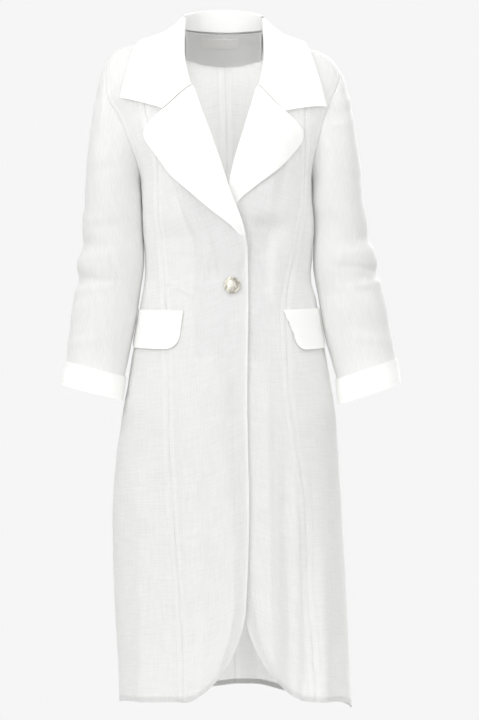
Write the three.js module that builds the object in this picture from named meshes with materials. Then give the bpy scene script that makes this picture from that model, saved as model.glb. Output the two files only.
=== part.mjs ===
// A long, open-collared linen blazer, filled out as it is when worn.
// Millimetres, +Z up. The front faces -Y, the wearer's left is +X.
// The origin is the middle of the neck base. "right" and "left" are the wearer's.
import * as THREE from 'three';

// Cloth walls and the clearances between layers
const CLOTH = 1.0;
const DOUBLE = 1.6;
const SEAM = 0.3;
const LAYER = 0.4;
const INNER_LAYER = 1.6;
const NECK_LAYER = 2.5;
const EDGE_INSET = 0.0015;
// How far each front lies out where they cross, and the right one over the left lapel
const LAP = { right: 3.6, left: -2.4, from: -195, full: -280, share: 0.62 };
const OVER_LAPEL = { out: 3.6, from: -255, full: -285, gone: -440, going: -395, outer: 60, inner: 25 };

// Heights
const CHEST = -168;
const ARMPIT = -268;
const WAIST_BUTTON = -450;
const HEM = -1150;
const HEM_REACH = 200;
const RING_ONE = -305;

const rad = (degrees) => (degrees * Math.PI) / 180;

const RIGHT = -1;
const LEFT = 1;
const FRONT = -1;
const BACK = 1;

// Grid sizes
const ROWS_BELOW = 17;
const ROWS_ARM = 4;
const ROWS_OVER = 6;
const COLUMNS = { front: 9, side: 5, neck: 4, back: 6 };

// Half widths of the body: armhole edge above the armpit, side seam below it
const WIDTH = [
  { z: -62, right: 203, left: 197.5 },
  { z: -82, right: 203.3, left: 197.5 },
  { z: -100, right: 203, left: 196 },
  { z: -120, right: 202, left: 188.5 },
  { z: -134, right: 198, left: 181 },
  { z: -150, right: 187.5, left: 174 },
  { z: -168, right: 178, left: 168.5 },
  { z: -198, right: 167, left: 159.5 },
  { z: -232, right: 154.5, left: 150.5 },
  { z: -268, right: 147, left: 145.5 },
  { z: -350, right: 145, left: 148.5 },
  { z: -400, right: 141.7, left: 144.8 },
  { z: -438, right: 143, left: 141.8 },
  { z: -480, right: 151, left: 151 },
  { z: -530, right: 160, left: 158.5 },
  { z: -610, right: 173.5, left: 171.5 },
  { z: -680, right: 187.5, left: 181.3 },
  { z: -765, right: 199.5, left: 185.2 },
  { z: -850, right: 205, left: 189 },
  { z: -1000, right: 203.5, left: 194.8 },
  { z: -1070, right: 200, left: 196.5 },
  { z: -1180, right: 197.5, left: 200 },
];

// How far the body reaches forward and back of the side seams
const DEPTH = [
  { z: -168, front: 104, back: 103 },
  { z: -230, front: 112, back: 103 },
  { z: -268, front: 113, back: 100 },
  { z: -340, front: 106, back: 92 },
  { z: -430, front: 99, back: 84 },
  { z: -520, front: 104, back: 95 },
  { z: -620, front: 111, back: 112 },
  { z: -760, front: 119, back: 127 },
  { z: -900, front: 128, back: 136 },
  { z: -1180, front: 142, back: 147 },
];

// Height of the shoulder line, by the share of the way from the middle to the armhole
const SHOULDER = [
  { r: 0, right: -5, left: -5 },
  { r: 0.34, right: -4.5, left: -8 },
  { r: 0.5, right: -16.3, left: -22.5 },
  { r: 0.68, right: -28, left: -36.5 },
  { r: 0.75, right: -31.8, left: -44 },
  { r: 0.82, right: -34, left: -49.5 },
  { r: 0.89, right: -38.5, left: -57 },
  { r: 0.945, right: -45, left: -65.5 },
  { r: 1, right: -62, left: -82 },
];

// Inner edge of each front, measured outwards from the middle: neck, roll line, then front edge
const FRONT_EDGE = [
  { z: -4, right: 69, left: 67 },
  { z: -35, right: 69.5, left: 68.8 },
  { z: -60, right: 69.5, left: 68.8 },
  { z: -77, right: 66.6, left: 67.5 },
  { z: -103, right: 58.6, left: 60 },
  { z: -166, right: 37.6, left: 39.8 },
  { z: -230, right: 15.1, left: 19.4 },
  { z: -284, right: -0.9, left: 4.2 },
  { z: -344, right: -21.8, left: -11 },
  { z: -378, right: -32, left: -22.5 },
  { z: -400, right: -33, left: -25 },
  { z: -475, right: -33.1, left: -24 },
  { z: -650, right: -28.7, left: -14 },
  { z: -828, right: -29, left: 1 },
  { z: -913, right: -26, left: 10 },
  { z: -980, right: -22, left: 17 },
  { z: -1000, right: -20, left: 19 },
];

// The rounded lower corner of each front, a quarter of a superellipse
const CORNER = {
  right: { middle: 84, top: -980, width: 106, height: 168, power: 1.7, split: -1096 },
  left: { middle: 112, top: -1000, width: 93, height: 148, power: 1.5, split: -1100 },
};

// Hem height by the distance from the middle
const HEM_FRONT = [
  { u: 0, right: -1148, left: -1148 },
  { u: 84, right: -1148, left: -1148 },
  { u: 130, right: -1149.5, left: -1153 },
  { u: 165, right: -1152, left: -1158 },
  { u: 200, right: -1159, left: -1176 },
];
const HEM_BACK = [
  { u: 0, right: -1148, left: -1148 },
  { u: 35, right: -1153, left: -1150 },
  { u: 78, right: -1156, left: -1159 },
  { u: 140, right: -1158, left: -1168 },
  { u: 200, right: -1159, left: -1176 },
];

// Shoulder princess seams, measured outwards from the middle
const PRINCESS = [
  { z: -30, right: 140, left: 136 },
  { z: -100, right: 139, left: 136 },
  { z: -164, right: 134, left: 135 },
  { z: -232, right: 117, left: 134.5 },
  { z: -306, right: 115.5, left: 130.5 },
  { z: -392, right: 111.5, left: 115.6 },
  { z: -480, right: 106, left: 97.8 },
  { z: -561, right: 105, left: 97.7 },
  { z: -645, right: 104.6, left: 101.4 },
  { z: -730, right: 104.2, left: 111.8 },
  { z: -798, right: 101.2, left: 121 },
  { z: -848, right: 98.6, left: 125 },
  { z: -983, right: 90.5, left: 128 },
  { z: -1051, right: 87.2, left: 132 },
  { z: -1150, right: 87, left: 136 },
];

// Soft folds of the body: a ridge (height > 0) or trough along a line from top to bottom
const FOLDS = [
  { face: FRONT, x1: -72, z1: -200, x2: -78, z2: -330, wide: 34, height: 7 },
  { face: FRONT, x1: 78, z1: -215, x2: 80, z2: -325, wide: 32, height: 8 },
  { face: FRONT, x1: -46, z1: -305, x2: -18, z2: -420, wide: 20, height: -3.5 },
  { face: FRONT, x1: 52, z1: -335, x2: 68, z2: -395, wide: 20, height: -3.5 },
  { face: FRONT, x1: 84, z1: -370, x2: 74, z2: -470, wide: 13, height: 4 },
  { face: FRONT, x1: 62, z1: -560, x2: 64, z2: -1060, wide: 15, height: 8 },
  { face: FRONT, x1: 92, z1: -700, x2: 96, z2: -1090, wide: 13, height: -7 },
  { face: FRONT, x1: 122, z1: -840, x2: 120, z2: -1120, wide: 12, height: -8 },
  { face: FRONT, x1: 150, z1: -880, x2: 150, z2: -1150, wide: 13, height: 9 },
  { face: FRONT, x1: -60, z1: -620, x2: -58, z2: -1080, wide: 20, height: 6 },
  { face: FRONT, x1: -112, z1: -700, x2: -108, z2: -1130, wide: 16, height: -8 },
  { face: FRONT, x1: -150, z1: -760, x2: -152, z2: -1140, wide: 17, height: 8 },
  { face: BACK, x1: -34, z1: -560, x2: -44, z2: -1140, wide: 20, height: 9 },
  { face: BACK, x1: 38, z1: -600, x2: 46, z2: -1140, wide: 20, height: 8 },
  { face: BACK, x1: -84, z1: -620, x2: -98, z2: -1140, wide: 18, height: -10 },
  { face: BACK, x1: 88, z1: -640, x2: 100, z2: -1140, wide: 18, height: -9 },
  { face: BACK, x1: -126, z1: -700, x2: -148, z2: -1140, wide: 17, height: 8 },
  { face: BACK, x1: 128, z1: -700, x2: 148, z2: -1140, wide: 17, height: 8 },
  { face: BACK, x1: -50, z1: -330, x2: -62, z2: -470, wide: 18, height: -4 },
  { face: BACK, x1: 52, z1: -340, x2: 60, z2: -460, wide: 18, height: -4 },
];

// Body shape exponents: a little squarer than an ellipse
const ROUND = 2.2;
const ARM_HALF_DEPTH = 54;
const NECK_SHARE = 0.34;
const NECK_BACK = 72;
const RIDGE_AT_NECK = 8;
const NECKLINE_BEND = { share: 2.4, reach: 1.7 };
const ARMHOLE_BEND = 0.8;
const FOLDS_FADE = { from: -110, full: -175 };
const OPEN_BELOW = -1050;
const OPEN_START = 0.45;
const FADE = { share: 0.3, most: 120 };
const JUST_BEHIND = Math.PI / 2 + 0.0001;

// Sleeve stations: middle line, half width across, half depth, and tilt of the ring in degrees
const SLEEVE = {
  right: [
    { x: 198, y: 1, z: RING_ONE, across: 46, deep: 61, tilt: 0 },
    { x: 199.6, y: 0, z: -350, across: 49.5, deep: 61, tilt: 1 },
    { x: 202.5, y: -3, z: -418, across: 53.6, deep: 60, tilt: 4 },
    { x: 209.5, y: -8, z: -472, across: 55, deep: 58.5, tilt: 9 },
    { x: 219.5, y: -14, z: -530, across: 54, deep: 57, tilt: 12.5 },
  ],
  left: [
    { x: 191.5, y: 4, z: RING_ONE, across: 41.5, deep: 60, tilt: 0 },
    { x: 196.8, y: 3, z: -350, across: 44.6, deep: 60, tilt: 2 },
    { x: 201.5, y: 1, z: -415, across: 52.5, deep: 59, tilt: 5 },
    { x: 210, y: -3, z: -470, across: 55, deep: 58, tilt: 10 },
    { x: 220.5, y: -8, z: -530, across: 55.8, deep: 57, tilt: 14 },
  ],
};
const TUCKED = { down: 0.3, inside: 2 };
const CUFF = {
  right: {
    top: { x: 229.6, y: -20.2, z: -587, across: 53, deep: 56.4, tilt: 15.5 },
    bottom: { x: 236.2, y: -24, z: -628, across: 54, deep: 56.9, tilt: 15.5 },
  },
  left: {
    top: { x: 234.2, y: -14, z: -594.5, across: 55, deep: 56.9, tilt: 18 },
    bottom: { x: 239.2, y: -18, z: -638, across: 56.6, deep: 57.4, tilt: 18 },
  },
};

// Where each front's lapel rolls out from and where its free edge lies, top to break point.
// u is measured outwards from the middle.
const LAPEL = {
  right: [
    { rollZ: -109, u: 103.5, z: -148.5 },
    { rollZ: -122, u: 122.5, z: -166 },
    { rollZ: -140, u: 134, z: -179 },
    { rollZ: -160, u: 137.4, z: -191 },
    { rollZ: -180, u: 133.5, z: -204 },
    { rollZ: -208, u: 114, z: -230 },
    { rollZ: -240, u: 93, z: -258 },
    { rollZ: -272, u: 65, z: -286 },
    { rollZ: -306, u: 32, z: -318 },
    { rollZ: -340, u: -3, z: -347 },
    { rollZ: -366, u: -23, z: -368 },
  ],
  left: [
    { rollZ: -112, u: 98.5, z: -157 },
    { rollZ: -126, u: 117, z: -173 },
    { rollZ: -144, u: 127, z: -186 },
    { rollZ: -164, u: 129.4, z: -199 },
    { rollZ: -186, u: 123, z: -214.5 },
    { rollZ: -212, u: 102, z: -238 },
    { rollZ: -242, u: 78, z: -260 },
    { rollZ: -274, u: 48, z: -284 },
    { rollZ: -306, u: 22, z: -306 },
    { rollZ: -338, u: 5, z: -330 },
    { rollZ: -364, u: -9, z: -356 },
  ],
};

// Collar, from its front end round to the middle of the back. Angles are over the shoulder:
// 0 at the front of the chest, 90 on the shoulder line, 180 at the same height behind.
const COLLAR = {
  right: [
    { neckU: 67, neckZ: -107, edgeU: 175, edgeZ: -128, stand: 5, upright: 0 },
    { neckU: 69, neckZ: -88, edgeU: 171, edgeZ: -110, stand: 5.5, upright: 0 },
    { neckU: 69.5, neckZ: -66, edgeU: 164.5, edgeZ: -87, stand: 7, upright: 0.1 },
    { neckU: 69.5, neckZ: -44, edgeU: 158, edgeZ: -62, stand: 10, upright: 0.35 },
    { neckU: 69.3, neckZ: -22, edgeU: 150.5, edgeZ: -42.5, stand: 15, upright: 0.75 },
  ],
  left: [
    { neckU: 66, neckZ: -110, edgeU: 169.5, edgeZ: -148.5, stand: 5, upright: 0 },
    { neckU: 68, neckZ: -92, edgeU: 164, edgeZ: -128, stand: 5.5, upright: 0 },
    { neckU: 68.8, neckZ: -70, edgeU: 157, edgeZ: -99, stand: 7, upright: 0.1 },
    { neckU: 68.8, neckZ: -48, edgeU: 149.5, edgeZ: -74, stand: 10, upright: 0.35 },
    { neckU: 68.3, neckZ: -26, edgeU: 141, edgeZ: -51.5, stand: 15, upright: 0.75 },
  ],
  shoulder: { share: 0.672, stand: 20 },
  notch: { right: { u: 105.5, z: -145.5 }, left: { u: 100.5, z: -153 } },
  behind: [
    { neckShare: 0.325, edgeShare: 0.62, edgeAngle: 107, stand: 25 },
    { neckShare: 0.28, edgeShare: 0.5, edgeAngle: 119, stand: 30 },
    { neckShare: 0.2, edgeShare: 0.34, edgeAngle: 127, stand: 35 },
    { neckShare: 0.1, edgeShare: 0.17, edgeAngle: 132, stand: 38 },
    { neckShare: 0, edgeShare: 0, edgeAngle: 134, stand: 39 },
  ],
};

// Front facings, inside the front edge. Lines and steps are in rows and columns of the front.
const FACING = {
  strip: 24,
  wide: 92,
  wideFrom: -562,
  columns: 6,
  step: 0.04,
  first: 0.15,
  last: 0.05,
  inset: 0.06,
  widest: COLUMNS.front - 0.7,
  search: 0.05,
};
// Back neck facing and the blank label sewn to it, in rows of the back below its neckline
const NECK_FACING = { lines: [0.3, 1, 2, 3.3], rise: 0.4, straight: 2.5 };
const LABEL = { x: -8, width: 65, lines: [1.35, 1.775, 2.2], columns: 6, search: 0.02, wall: 1 };
// Pocket flaps
const FLAP = {
  right: { u: 75.8, top: -486, slope: 6, deep: 65, lean: 2, corner: 24 },
  left: { u: 92.3, top: -489, slope: 4, deep: 68, lean: 12, corner: 26 },
};
const FLAP_LIFT = 2.2;
const FLAP_WIDTH = 130;
const FLAP_END = rad(86);
const FLAP_GRID = { rows: 4, columns: 8 };
const BUTTON = { x: 6.6, shank: 1.6, segments: 28 };
// Radius and height of the button's turned outline
const BUTTON_OUTLINE = [
  [0, 0],
  [11.5, 0],
  [13.4, 1],
  [14, 2.2],
  [12.8, 3.4],
  [11, 3.1],
  [9, 2.1],
  [0, 1.9],
];

const name = (side) => (side === RIGHT ? 'right' : 'left');
const lerp = (a, b, t) => a + (b - a) * t;
const clamp = (v, lo, hi) => Math.min(hi, Math.max(lo, v));
const smooth = (from, to, v) => {
  const t = clamp((v - from) / (to - from), 0, 1);
  return t * t * (3 - 2 * t);
};
const power = (v, p) => Math.sign(v) * Math.abs(v) ** p;

// Smooth curve through a table's rows, read at key = v
function read(table, key, v, column) {
  const up = table[1][key] > table[0][key] ? 1 : -1;
  let i = 0;
  while (i < table.length - 2 && (table[i + 1][key] - v) * up < 0) i += 1;
  const a = table[i];
  const b = table[i + 1];
  const before = table[i - 1] || a;
  const after = table[i + 2] || b;
  const span = b[key] - a[key];
  const t = clamp((v - a[key]) / span, 0, 1);
  const slopeA = ((b[column] - before[column]) / (b[key] - before[key])) * span;
  const slopeB = ((after[column] - a[column]) / (after[key] - a[key])) * span;
  const t2 = t * t;
  const t3 = t2 * t;
  return (
    (2 * t3 - 3 * t2 + 1) * a[column] +
    (t3 - 2 * t2 + t) * slopeA +
    (3 * t2 - 2 * t3) * b[column] +
    (t3 - t2) * slopeB
  );
}

const halfWidth = (side, z) => read(WIDTH, 'z', z, name(side));
const shoulderZ = (side, r) => read(SHOULDER, 'r', clamp(r, 0, 1), name(side));
const depthAt = (face, z) => read(DEPTH, 'z', z, face === FRONT ? 'front' : 'back');

// Half the armhole's depth at a height below the chest line
function armDepth(z) {
  if (z <= ARMPIT) return 0;
  const up = (Math.min(z, CHEST) - ARMPIT) / (CHEST - ARMPIT);
  return ARM_HALF_DEPTH * Math.sin((up * Math.PI) / 2) ** ARMHOLE_BEND;
}

// Height of the folds over the plain body
function drape(face, x, z) {
  let sum = 0;
  for (const fold of FOLDS) {
    if (fold.face !== face) continue;
    const t = clamp((z - fold.z1) / (fold.z2 - fold.z1), 0, 1);
    const middle = lerp(fold.x1, fold.x2, t);
    const end = Math.min(FADE.share * Math.abs(fold.z1 - fold.z2), FADE.most);
    const begins = smooth(fold.z1 + end / 2, fold.z1 - end, z);
    const ends = fold.z2 < OPEN_BELOW ? lerp(OPEN_START, 1, t) : smooth(fold.z2 - end, fold.z2, z);
    sum += fold.height * begins * ends * Math.exp(-(((x - middle) / fold.wide) ** 2));
  }
  return sum;
}

// Size of the plain section at a height, with the angle at which the panel ends
function section(side, face, z) {
  const deep = depthAt(face, z);
  const edge = halfWidth(side, z);
  const share = armDepth(z) / deep;
  const across = edge / (1 - share ** ROUND) ** (1 / ROUND);
  return { deep, across, end: Math.acos(share ** (ROUND / 2)) };
}

const angleOf = (shape, u) => Math.asin(clamp(power(u / shape.across, ROUND / 2), -1, 1));

// A point on the body below the chest line, moved out by off
function low(side, face, angle, z, off) {
  const shape = section(side, face, z);
  const u = shape.across * power(Math.sin(angle), 2 / ROUND);
  const v = shape.deep * Math.max(Math.cos(angle), 0) ** (2 / ROUND);
  const nu = power(u, ROUND - 1) / shape.across ** ROUND;
  const nv = v ** (ROUND - 1) / shape.deep ** ROUND;
  const length = Math.hypot(nu, nv);
  const out = off + drape(face, side * u, z);
  return new THREE.Vector3(side * (u + (out * nu) / length), face * (v + (out * nv) / length), z);
}

// The line where front and back meet: shoulder seam, then the back neckline
function ridgeY(r, face) {
  if (face === BACK && r < NECK_SHARE) {
    const out = 1 - (r / NECK_SHARE) ** NECKLINE_BEND.share;
    return RIDGE_AT_NECK + (NECK_BACK - RIDGE_AT_NECK) * out ** (1 / NECKLINE_BEND.reach);
  }
  return RIDGE_AT_NECK * (1 - smooth(NECK_SHARE, 1, r));
}

function highPlain(side, r, turn) {
  const face = turn <= Math.PI / 2 ? FRONT : BACK;
  const up = Math.sin(turn);
  const outer = CHEST + (shoulderZ(side, 1) - CHEST) * up;
  const shape = section(side, face, CHEST);
  const angle = angleOf(shape, r * halfWidth(side, CHEST));
  const deep = face * shape.deep * Math.cos(angle) ** (2 / ROUND);
  const ridge = ridgeY(Math.abs(r), face);
  return new THREE.Vector3(
    side * r * halfWidth(side, outer),
    ridge + (deep - ridge) * Math.abs(Math.cos(turn)),
    CHEST + (shoulderZ(side, Math.abs(r)) - CHEST) * up,
  );
}

// A point above the chest line. turn runs from 0 in front over the shoulder to PI behind.
function high(side, r, turn, off) {
  const step = 0.004;
  const point = highPlain(side, r, turn);
  const face = turn <= Math.PI / 2 ? FRONT : BACK;
  const inward = face === FRONT ? Math.max(turn - step, 0) : Math.min(turn + step, Math.PI);
  const alongTurn = highPlain(side, r, inward === turn ? turn - face * step : inward).sub(point);
  if (inward === turn) alongTurn.negate();
  const alongShare = highPlain(side, r + step, turn).sub(highPlain(side, r - step, turn));
  const normal = alongShare.cross(alongTurn).multiplyScalar(side * face).normalize();
  const plain = drape(face, point.x, point.z) * smooth(FOLDS_FADE.from, FOLDS_FADE.full, point.z);
  return point.addScaledVector(normal, off + plain);
}

// Share and turn of the point of the front that is u from the middle at height z
function shareAndTurn(side, u, z) {
  let r = u / halfWidth(side, z);
  let turn = 0;
  for (let pass = 0; pass < 6; pass += 1) {
    turn = Math.asin(clamp((z - CHEST) / (shoulderZ(side, r) - CHEST), 0, 1));
    const outer = CHEST + (shoulderZ(side, 1) - CHEST) * Math.sin(turn);
    r = u / halfWidth(side, outer);
  }
  return { r, turn };
}

// A point of the front given by its place in the front view
function frontAt(side, u, z, off) {
  if (z < CHEST) return low(side, FRONT, angleOf(section(side, FRONT, z), u), z, off);
  const { r, turn } = shareAndTurn(side, u, z);
  return high(side, r, turn, off);
}

// Front edge, with the rounded corner at the hem
function frontEdge(side, z) {
  const corner = CORNER[name(side)];
  if (z > corner.top) return read(FRONT_EDGE, 'z', z, name(side));
  const drop = clamp((corner.top - z) / corner.height, 0, 1);
  return corner.middle - corner.width * (1 - drop ** corner.power) ** (1 / corner.power);
}

function frontHem(side, u) {
  const corner = CORNER[name(side)];
  const flat = read(HEM_FRONT, 'u', u, name(side));
  if (u > corner.middle) return flat;
  const share = clamp((corner.middle - u) / corner.width, 0, 1);
  return corner.top - corner.height * (1 - share ** corner.power) ** (1 / corner.power);
}

// How far a front lies out from the plain body: the right one laps over the left one
function frontOff(side, u, z) {
  const inner = frontEdge(side, Math.max(z, CORNER[name(side)].split));
  const outer = read(PRINCESS, 'z', z, name(side));
  const across = smooth(1, LAP.share, (u - inner) / (outer - inner));
  const lap = LAP[name(side)] * smooth(LAP.from, LAP.full, z) * across;
  if (side === LEFT) return lap;
  const over = OVER_LAPEL;
  const down = smooth(over.from, over.full, z) * smooth(over.gone, over.going, z);
  return lap + over.out * down * smooth(over.outer, over.inner, u);
}

// The direction out of a grid of points, at each of them
function normalsOf(points, around = false) {
  const rows = points.length;
  const columns = points[0].length;
  const wrap = (j) => (around ? (j + columns) % columns : clamp(j, 0, columns - 1));
  return points.map((row, i) =>
    row.map((_, j) => {
      const down = points[Math.min(i + 1, rows - 1)][j].clone().sub(points[Math.max(i - 1, 0)][j]);
      const across = points[i][wrap(j + 1)].clone().sub(points[i][wrap(j - 1)]);
      return down.cross(across).normalize();
    }),
  );
}

// The point of a grid at a fractional row and column
function between(grid, i, j) {
  const i0 = clamp(Math.floor(i), 0, grid.length - 2);
  const j0 = clamp(Math.floor(j), 0, grid[0].length - 2);
  const near = grid[i0][j0].clone().lerp(grid[i0][j0 + 1], j - j0);
  return near.lerp(grid[i0 + 1][j0].clone().lerp(grid[i0 + 1][j0 + 1], j - j0), i - i0);
}

// A point over a panel's own facets, moved along its normal
function onPanel(panel, i, j, off) {
  const normal = between(panel.normals, i, j).normalize();
  return between(panel.points, i, j).addScaledVector(normal, off);
}

// Joins a grid of points into a closed sheet of even thickness
function sheet(points, thickness, around = false) {
  const rows = points.length;
  const columns = points[0].length;
  const wrap = (j) => (around ? (j + columns) % columns : clamp(j, 0, columns - 1));
  const positions = [];
  const normals = normalsOf(points, around);
  for (const half of [thickness / 2, -thickness / 2]) {
    points.forEach((row, i) =>
      row.forEach((point, j) => {
        const moved = point.clone().addScaledVector(normals[i][j], half);
        positions.push(moved.x, moved.y, moved.z);
      }),
    );
  }
  const index = (layer, i, j) => layer * rows * columns + i * columns + wrap(j);
  const faces = [];
  const quad = (a, b, c, d) => faces.push(a, b, c, a, c, d);
  const cells = around ? columns : columns - 1;
  for (let i = 0; i < rows - 1; i += 1) {
    for (let j = 0; j < cells; j += 1) {
      quad(index(0, i, j), index(0, i + 1, j), index(0, i + 1, j + 1), index(0, i, j + 1));
      quad(index(1, i, j), index(1, i, j + 1), index(1, i + 1, j + 1), index(1, i + 1, j));
    }
    if (!around) {
      quad(index(0, i, 0), index(1, i, 0), index(1, i + 1, 0), index(0, i + 1, 0));
      const last = columns - 1;
      quad(index(0, i, last), index(0, i + 1, last), index(1, i + 1, last), index(1, i, last));
    }
  }
  for (let j = 0; j < cells; j += 1) {
    const last = rows - 1;
    quad(index(0, 0, j), index(0, 0, j + 1), index(1, 0, j + 1), index(1, 0, j));
    quad(index(0, last, j), index(1, last, j), index(1, last, j + 1), index(0, last, j + 1));
  }
  return closed(positions, faces);
}

// Closed geometry with its faces pointing out
function closed(positions, faces) {
  const corner = (k) => new THREE.Vector3().fromArray(positions, faces[k] * 3);
  let volume = 0;
  for (let k = 0; k < faces.length; k += 3) {
    volume += corner(k).dot(corner(k + 1).cross(corner(k + 2)));
  }
  const geometry = new THREE.BufferGeometry();
  geometry.setAttribute('position', new THREE.Float32BufferAttribute(positions, 3));
  geometry.setIndex(volume > 0 ? faces : faces.map((_, k) => faces[k - (k % 3) + 2 - (k % 3)]));
  geometry.computeVertexNormals();
  return geometry;
}

const steps = (count) => Array.from({ length: count + 1 }, (_, i) => i / count);

// The rows of a body panel, from hem to shoulder. bounds gives the inner and outer limits.
function panelRows({ side, face, shares, innerLow, outerLow, innerHigh, outerHigh, hem, off }) {
  const lowRow = (zOf) =>
    shares.map((s) => {
      const z = zOf(s);
      const shape = section(side, face, z);
      const angle = lerp(innerLow(shape, z), outerLow(shape, z), s);
      const u = shape.across * power(Math.sin(angle), 2 / ROUND);
      return low(side, face, angle, z, off(u, z));
    });
  const rows = steps(ROWS_BELOW).map((t) => lowRow((s) => lerp(hem(s), ARMPIT, t)));
  for (let k = 1; k <= ROWS_ARM; k += 1) {
    rows.push(lowRow(() => CHEST - (CHEST - ARMPIT) * Math.cos(rad((90 * k) / ROWS_ARM))));
  }
  const chest = section(side, face, CHEST);
  const from = innerLow(chest, CHEST);
  const to = outerLow(chest, CHEST);
  const uAt = (s) => chest.across * power(Math.sin(lerp(from, to, s)), 2 / ROUND);
  for (let k = 1; k <= ROWS_OVER; k += 1) {
    const lift = (Math.PI / 2) * (k / ROWS_OVER);
    rows.push(
      shares.map((s) => {
        const f = (uAt(s) - uAt(0)) / (uAt(1) - uAt(0));
        const r = lerp(innerHigh(lift), outerHigh(lift), f);
        const turn = face === FRONT ? lift : Math.max(Math.PI - lift, JUST_BEHIND);
        const point = high(side, r, turn, 0);
        if (k === ROWS_OVER) point.y += face * SEAM;
        return point;
      }),
    );
  }
  return rows;
}

const noOffset = () => 0;

// Share of the way to the armhole of a line given in the front view, at a lift over the chest
function shareOf(side, lift, lineU) {
  let r = 0.5;
  for (let pass = 0; pass < 6; pass += 1) {
    const z = CHEST + (shoulderZ(side, r) - CHEST) * Math.sin(lift);
    const outer = CHEST + (shoulderZ(side, 1) - CHEST) * Math.sin(lift);
    r = lineU(z) / halfWidth(side, outer);
  }
  return r;
}

function frontPanel(side) {
  const corner = CORNER[name(side)];
  const edge = (z) => frontEdge(side, Math.max(z, corner.split)) + SEAM;
  const seam = (z) => read(PRINCESS, 'z', z, name(side)) - SEAM / 2;
  const first = edge(corner.split);
  const last = seam(corner.split);
  return panelRows({
    side,
    face: FRONT,
    shares: steps(COLUMNS.front),
    innerLow: (shape, z) => angleOf(shape, edge(z)),
    outerLow: (shape, z) => angleOf(shape, seam(z)),
    innerHigh: (lift) => shareOf(side, lift, edge),
    outerHigh: (lift) => shareOf(side, lift, seam),
    hem: (s) => frontHem(side, lerp(first, last, s)),
    off: (u, z) => frontOff(side, u, z),
  });
}

function sidePanel(side) {
  const seam = (z) => read(PRINCESS, 'z', z, name(side)) + SEAM / 2;
  return panelRows({
    side,
    face: FRONT,
    shares: steps(COLUMNS.side),
    innerLow: (shape, z) => angleOf(shape, seam(z)),
    outerLow: (shape) => shape.end - EDGE_INSET,
    innerHigh: (lift) => shareOf(side, lift, seam),
    outerHigh: () => 1 - EDGE_INSET / 2,
    hem: (s) => frontHem(side, lerp(seam(HEM), halfWidth(side, HEM), s)),
    off: noOffset,
  });
}

// Share of the back's width at which its neckline meets the shoulder seam
function neckColumn(side) {
  const chest = section(side, BACK, CHEST);
  return angleOf(chest, NECK_SHARE * halfWidth(side, CHEST)) / chest.end;
}

function backPanel(side) {
  const neck = neckColumn(side);
  return panelRows({
    side,
    face: BACK,
    shares: [
      ...steps(COLUMNS.neck).map((t) => t * neck),
      ...steps(COLUMNS.back).slice(1).map((t) => lerp(neck, 1, t)),
    ],
    innerLow: (shape) => angleOf(shape, SEAM / 2),
    outerLow: (shape) => shape.end - EDGE_INSET,
    innerHigh: () => EDGE_INSET / 2,
    outerHigh: () => 1 - EDGE_INSET / 2,
    hem: (s) => read(HEM_BACK, 'u', HEM_REACH * Math.sin((s * Math.PI) / 2), name(side)),
    off: noOffset,
  });
}

// Points round the armhole, from the shoulder tip down the front and up the back
function armholeLoop(side) {
  const loop = [];
  for (let k = ROWS_OVER; k >= 1; k -= 1) {
    const lift = (90 * k) / ROWS_OVER;
    loop.push({ around: 90 - lift, at: high(side, 1, rad(lift), 0) });
  }
  for (let k = 0; k <= ROWS_ARM; k += 1) {
    const down = (90 * k) / ROWS_ARM;
    const z = CHEST - (CHEST - ARMPIT) * Math.sin(rad(down));
    loop.push({ around: 90 + down, at: low(side, FRONT, section(side, FRONT, z).end, z, 0) });
  }
  for (let k = ROWS_ARM - 1; k >= 0; k -= 1) {
    const down = (90 * k) / ROWS_ARM;
    const z = CHEST - (CHEST - ARMPIT) * Math.sin(rad(down));
    loop.push({ around: 270 - down, at: low(side, BACK, section(side, BACK, z).end, z, 0) });
  }
  for (let k = 1; k < ROWS_OVER; k += 1) {
    const lift = (90 * k) / ROWS_OVER;
    loop.push({ around: 270 + lift, at: high(side, 1, rad(180 - lift), 0) });
  }
  return loop;
}

// A point of a sleeve ring. around is 0 at the outer side, 90 in front, 180 at the body.
function ringPoint(side, ring, around, grow) {
  const c = Math.cos(rad(around)) * (ring.across + grow);
  const s = Math.sin(rad(around)) * (ring.deep + grow);
  const tilt = rad(ring.tilt);
  return new THREE.Vector3(
    side * (ring.x + c * Math.cos(tilt)),
    ring.y - s,
    ring.z + c * Math.sin(tilt),
  );
}

// Creases of the sleeves: share of the way down, direction round, reach and height
const SLEEVE_CREASES = [
  { down: 0.5, around: 20, tall: 0.025, wide: 70, height: -4.5 },
  { down: 0.56, around: 20, tall: 0.028, wide: 75, height: 3.5 },
  { down: 0.62, around: 15, tall: 0.025, wide: 60, height: -3.5 },
  { down: 0.45, around: 110, tall: 0.04, wide: 50, height: -3 },
  { down: 0.72, around: 60, tall: 0.05, wide: 60, height: 3 },
  { down: 0.55, around: 200, tall: 0.05, wide: 40, height: -2 },
];

function creaseAt(down, around) {
  let sum = 0;
  for (const crease of SLEEVE_CREASES) {
    const turn = ((around - crease.around + 540) % 360) - 180;
    const along = (down - crease.down) / crease.tall;
    sum += crease.height * Math.exp(-(along ** 2) - (turn / crease.wide) ** 2);
  }
  return sum;
}

function ringAt(stations, t) {
  const scaled = stations.map((station, i) => ({ ...station, t: i / (stations.length - 1) }));
  const ring = {};
  for (const key of ['x', 'y', 'z', 'across', 'deep', 'tilt']) ring[key] = read(scaled, 't', t, key);
  return ring;
}

const CAP_ROWS = 6;
const ARM_ROWS = 12;
// How the cap leaves the armhole: outwards and down at its outer side, front and inner side
const CAP = {
  outward: { outer: 44, front: 30, inner: 12 },
  down: { outer: 14, front: 60, inner: 16 },
  forward: 12,
  start: { outer: 0.9, inner: 1.5 },
  arrive: 0.95,
};
const CAP_END = 0.35;

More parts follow.
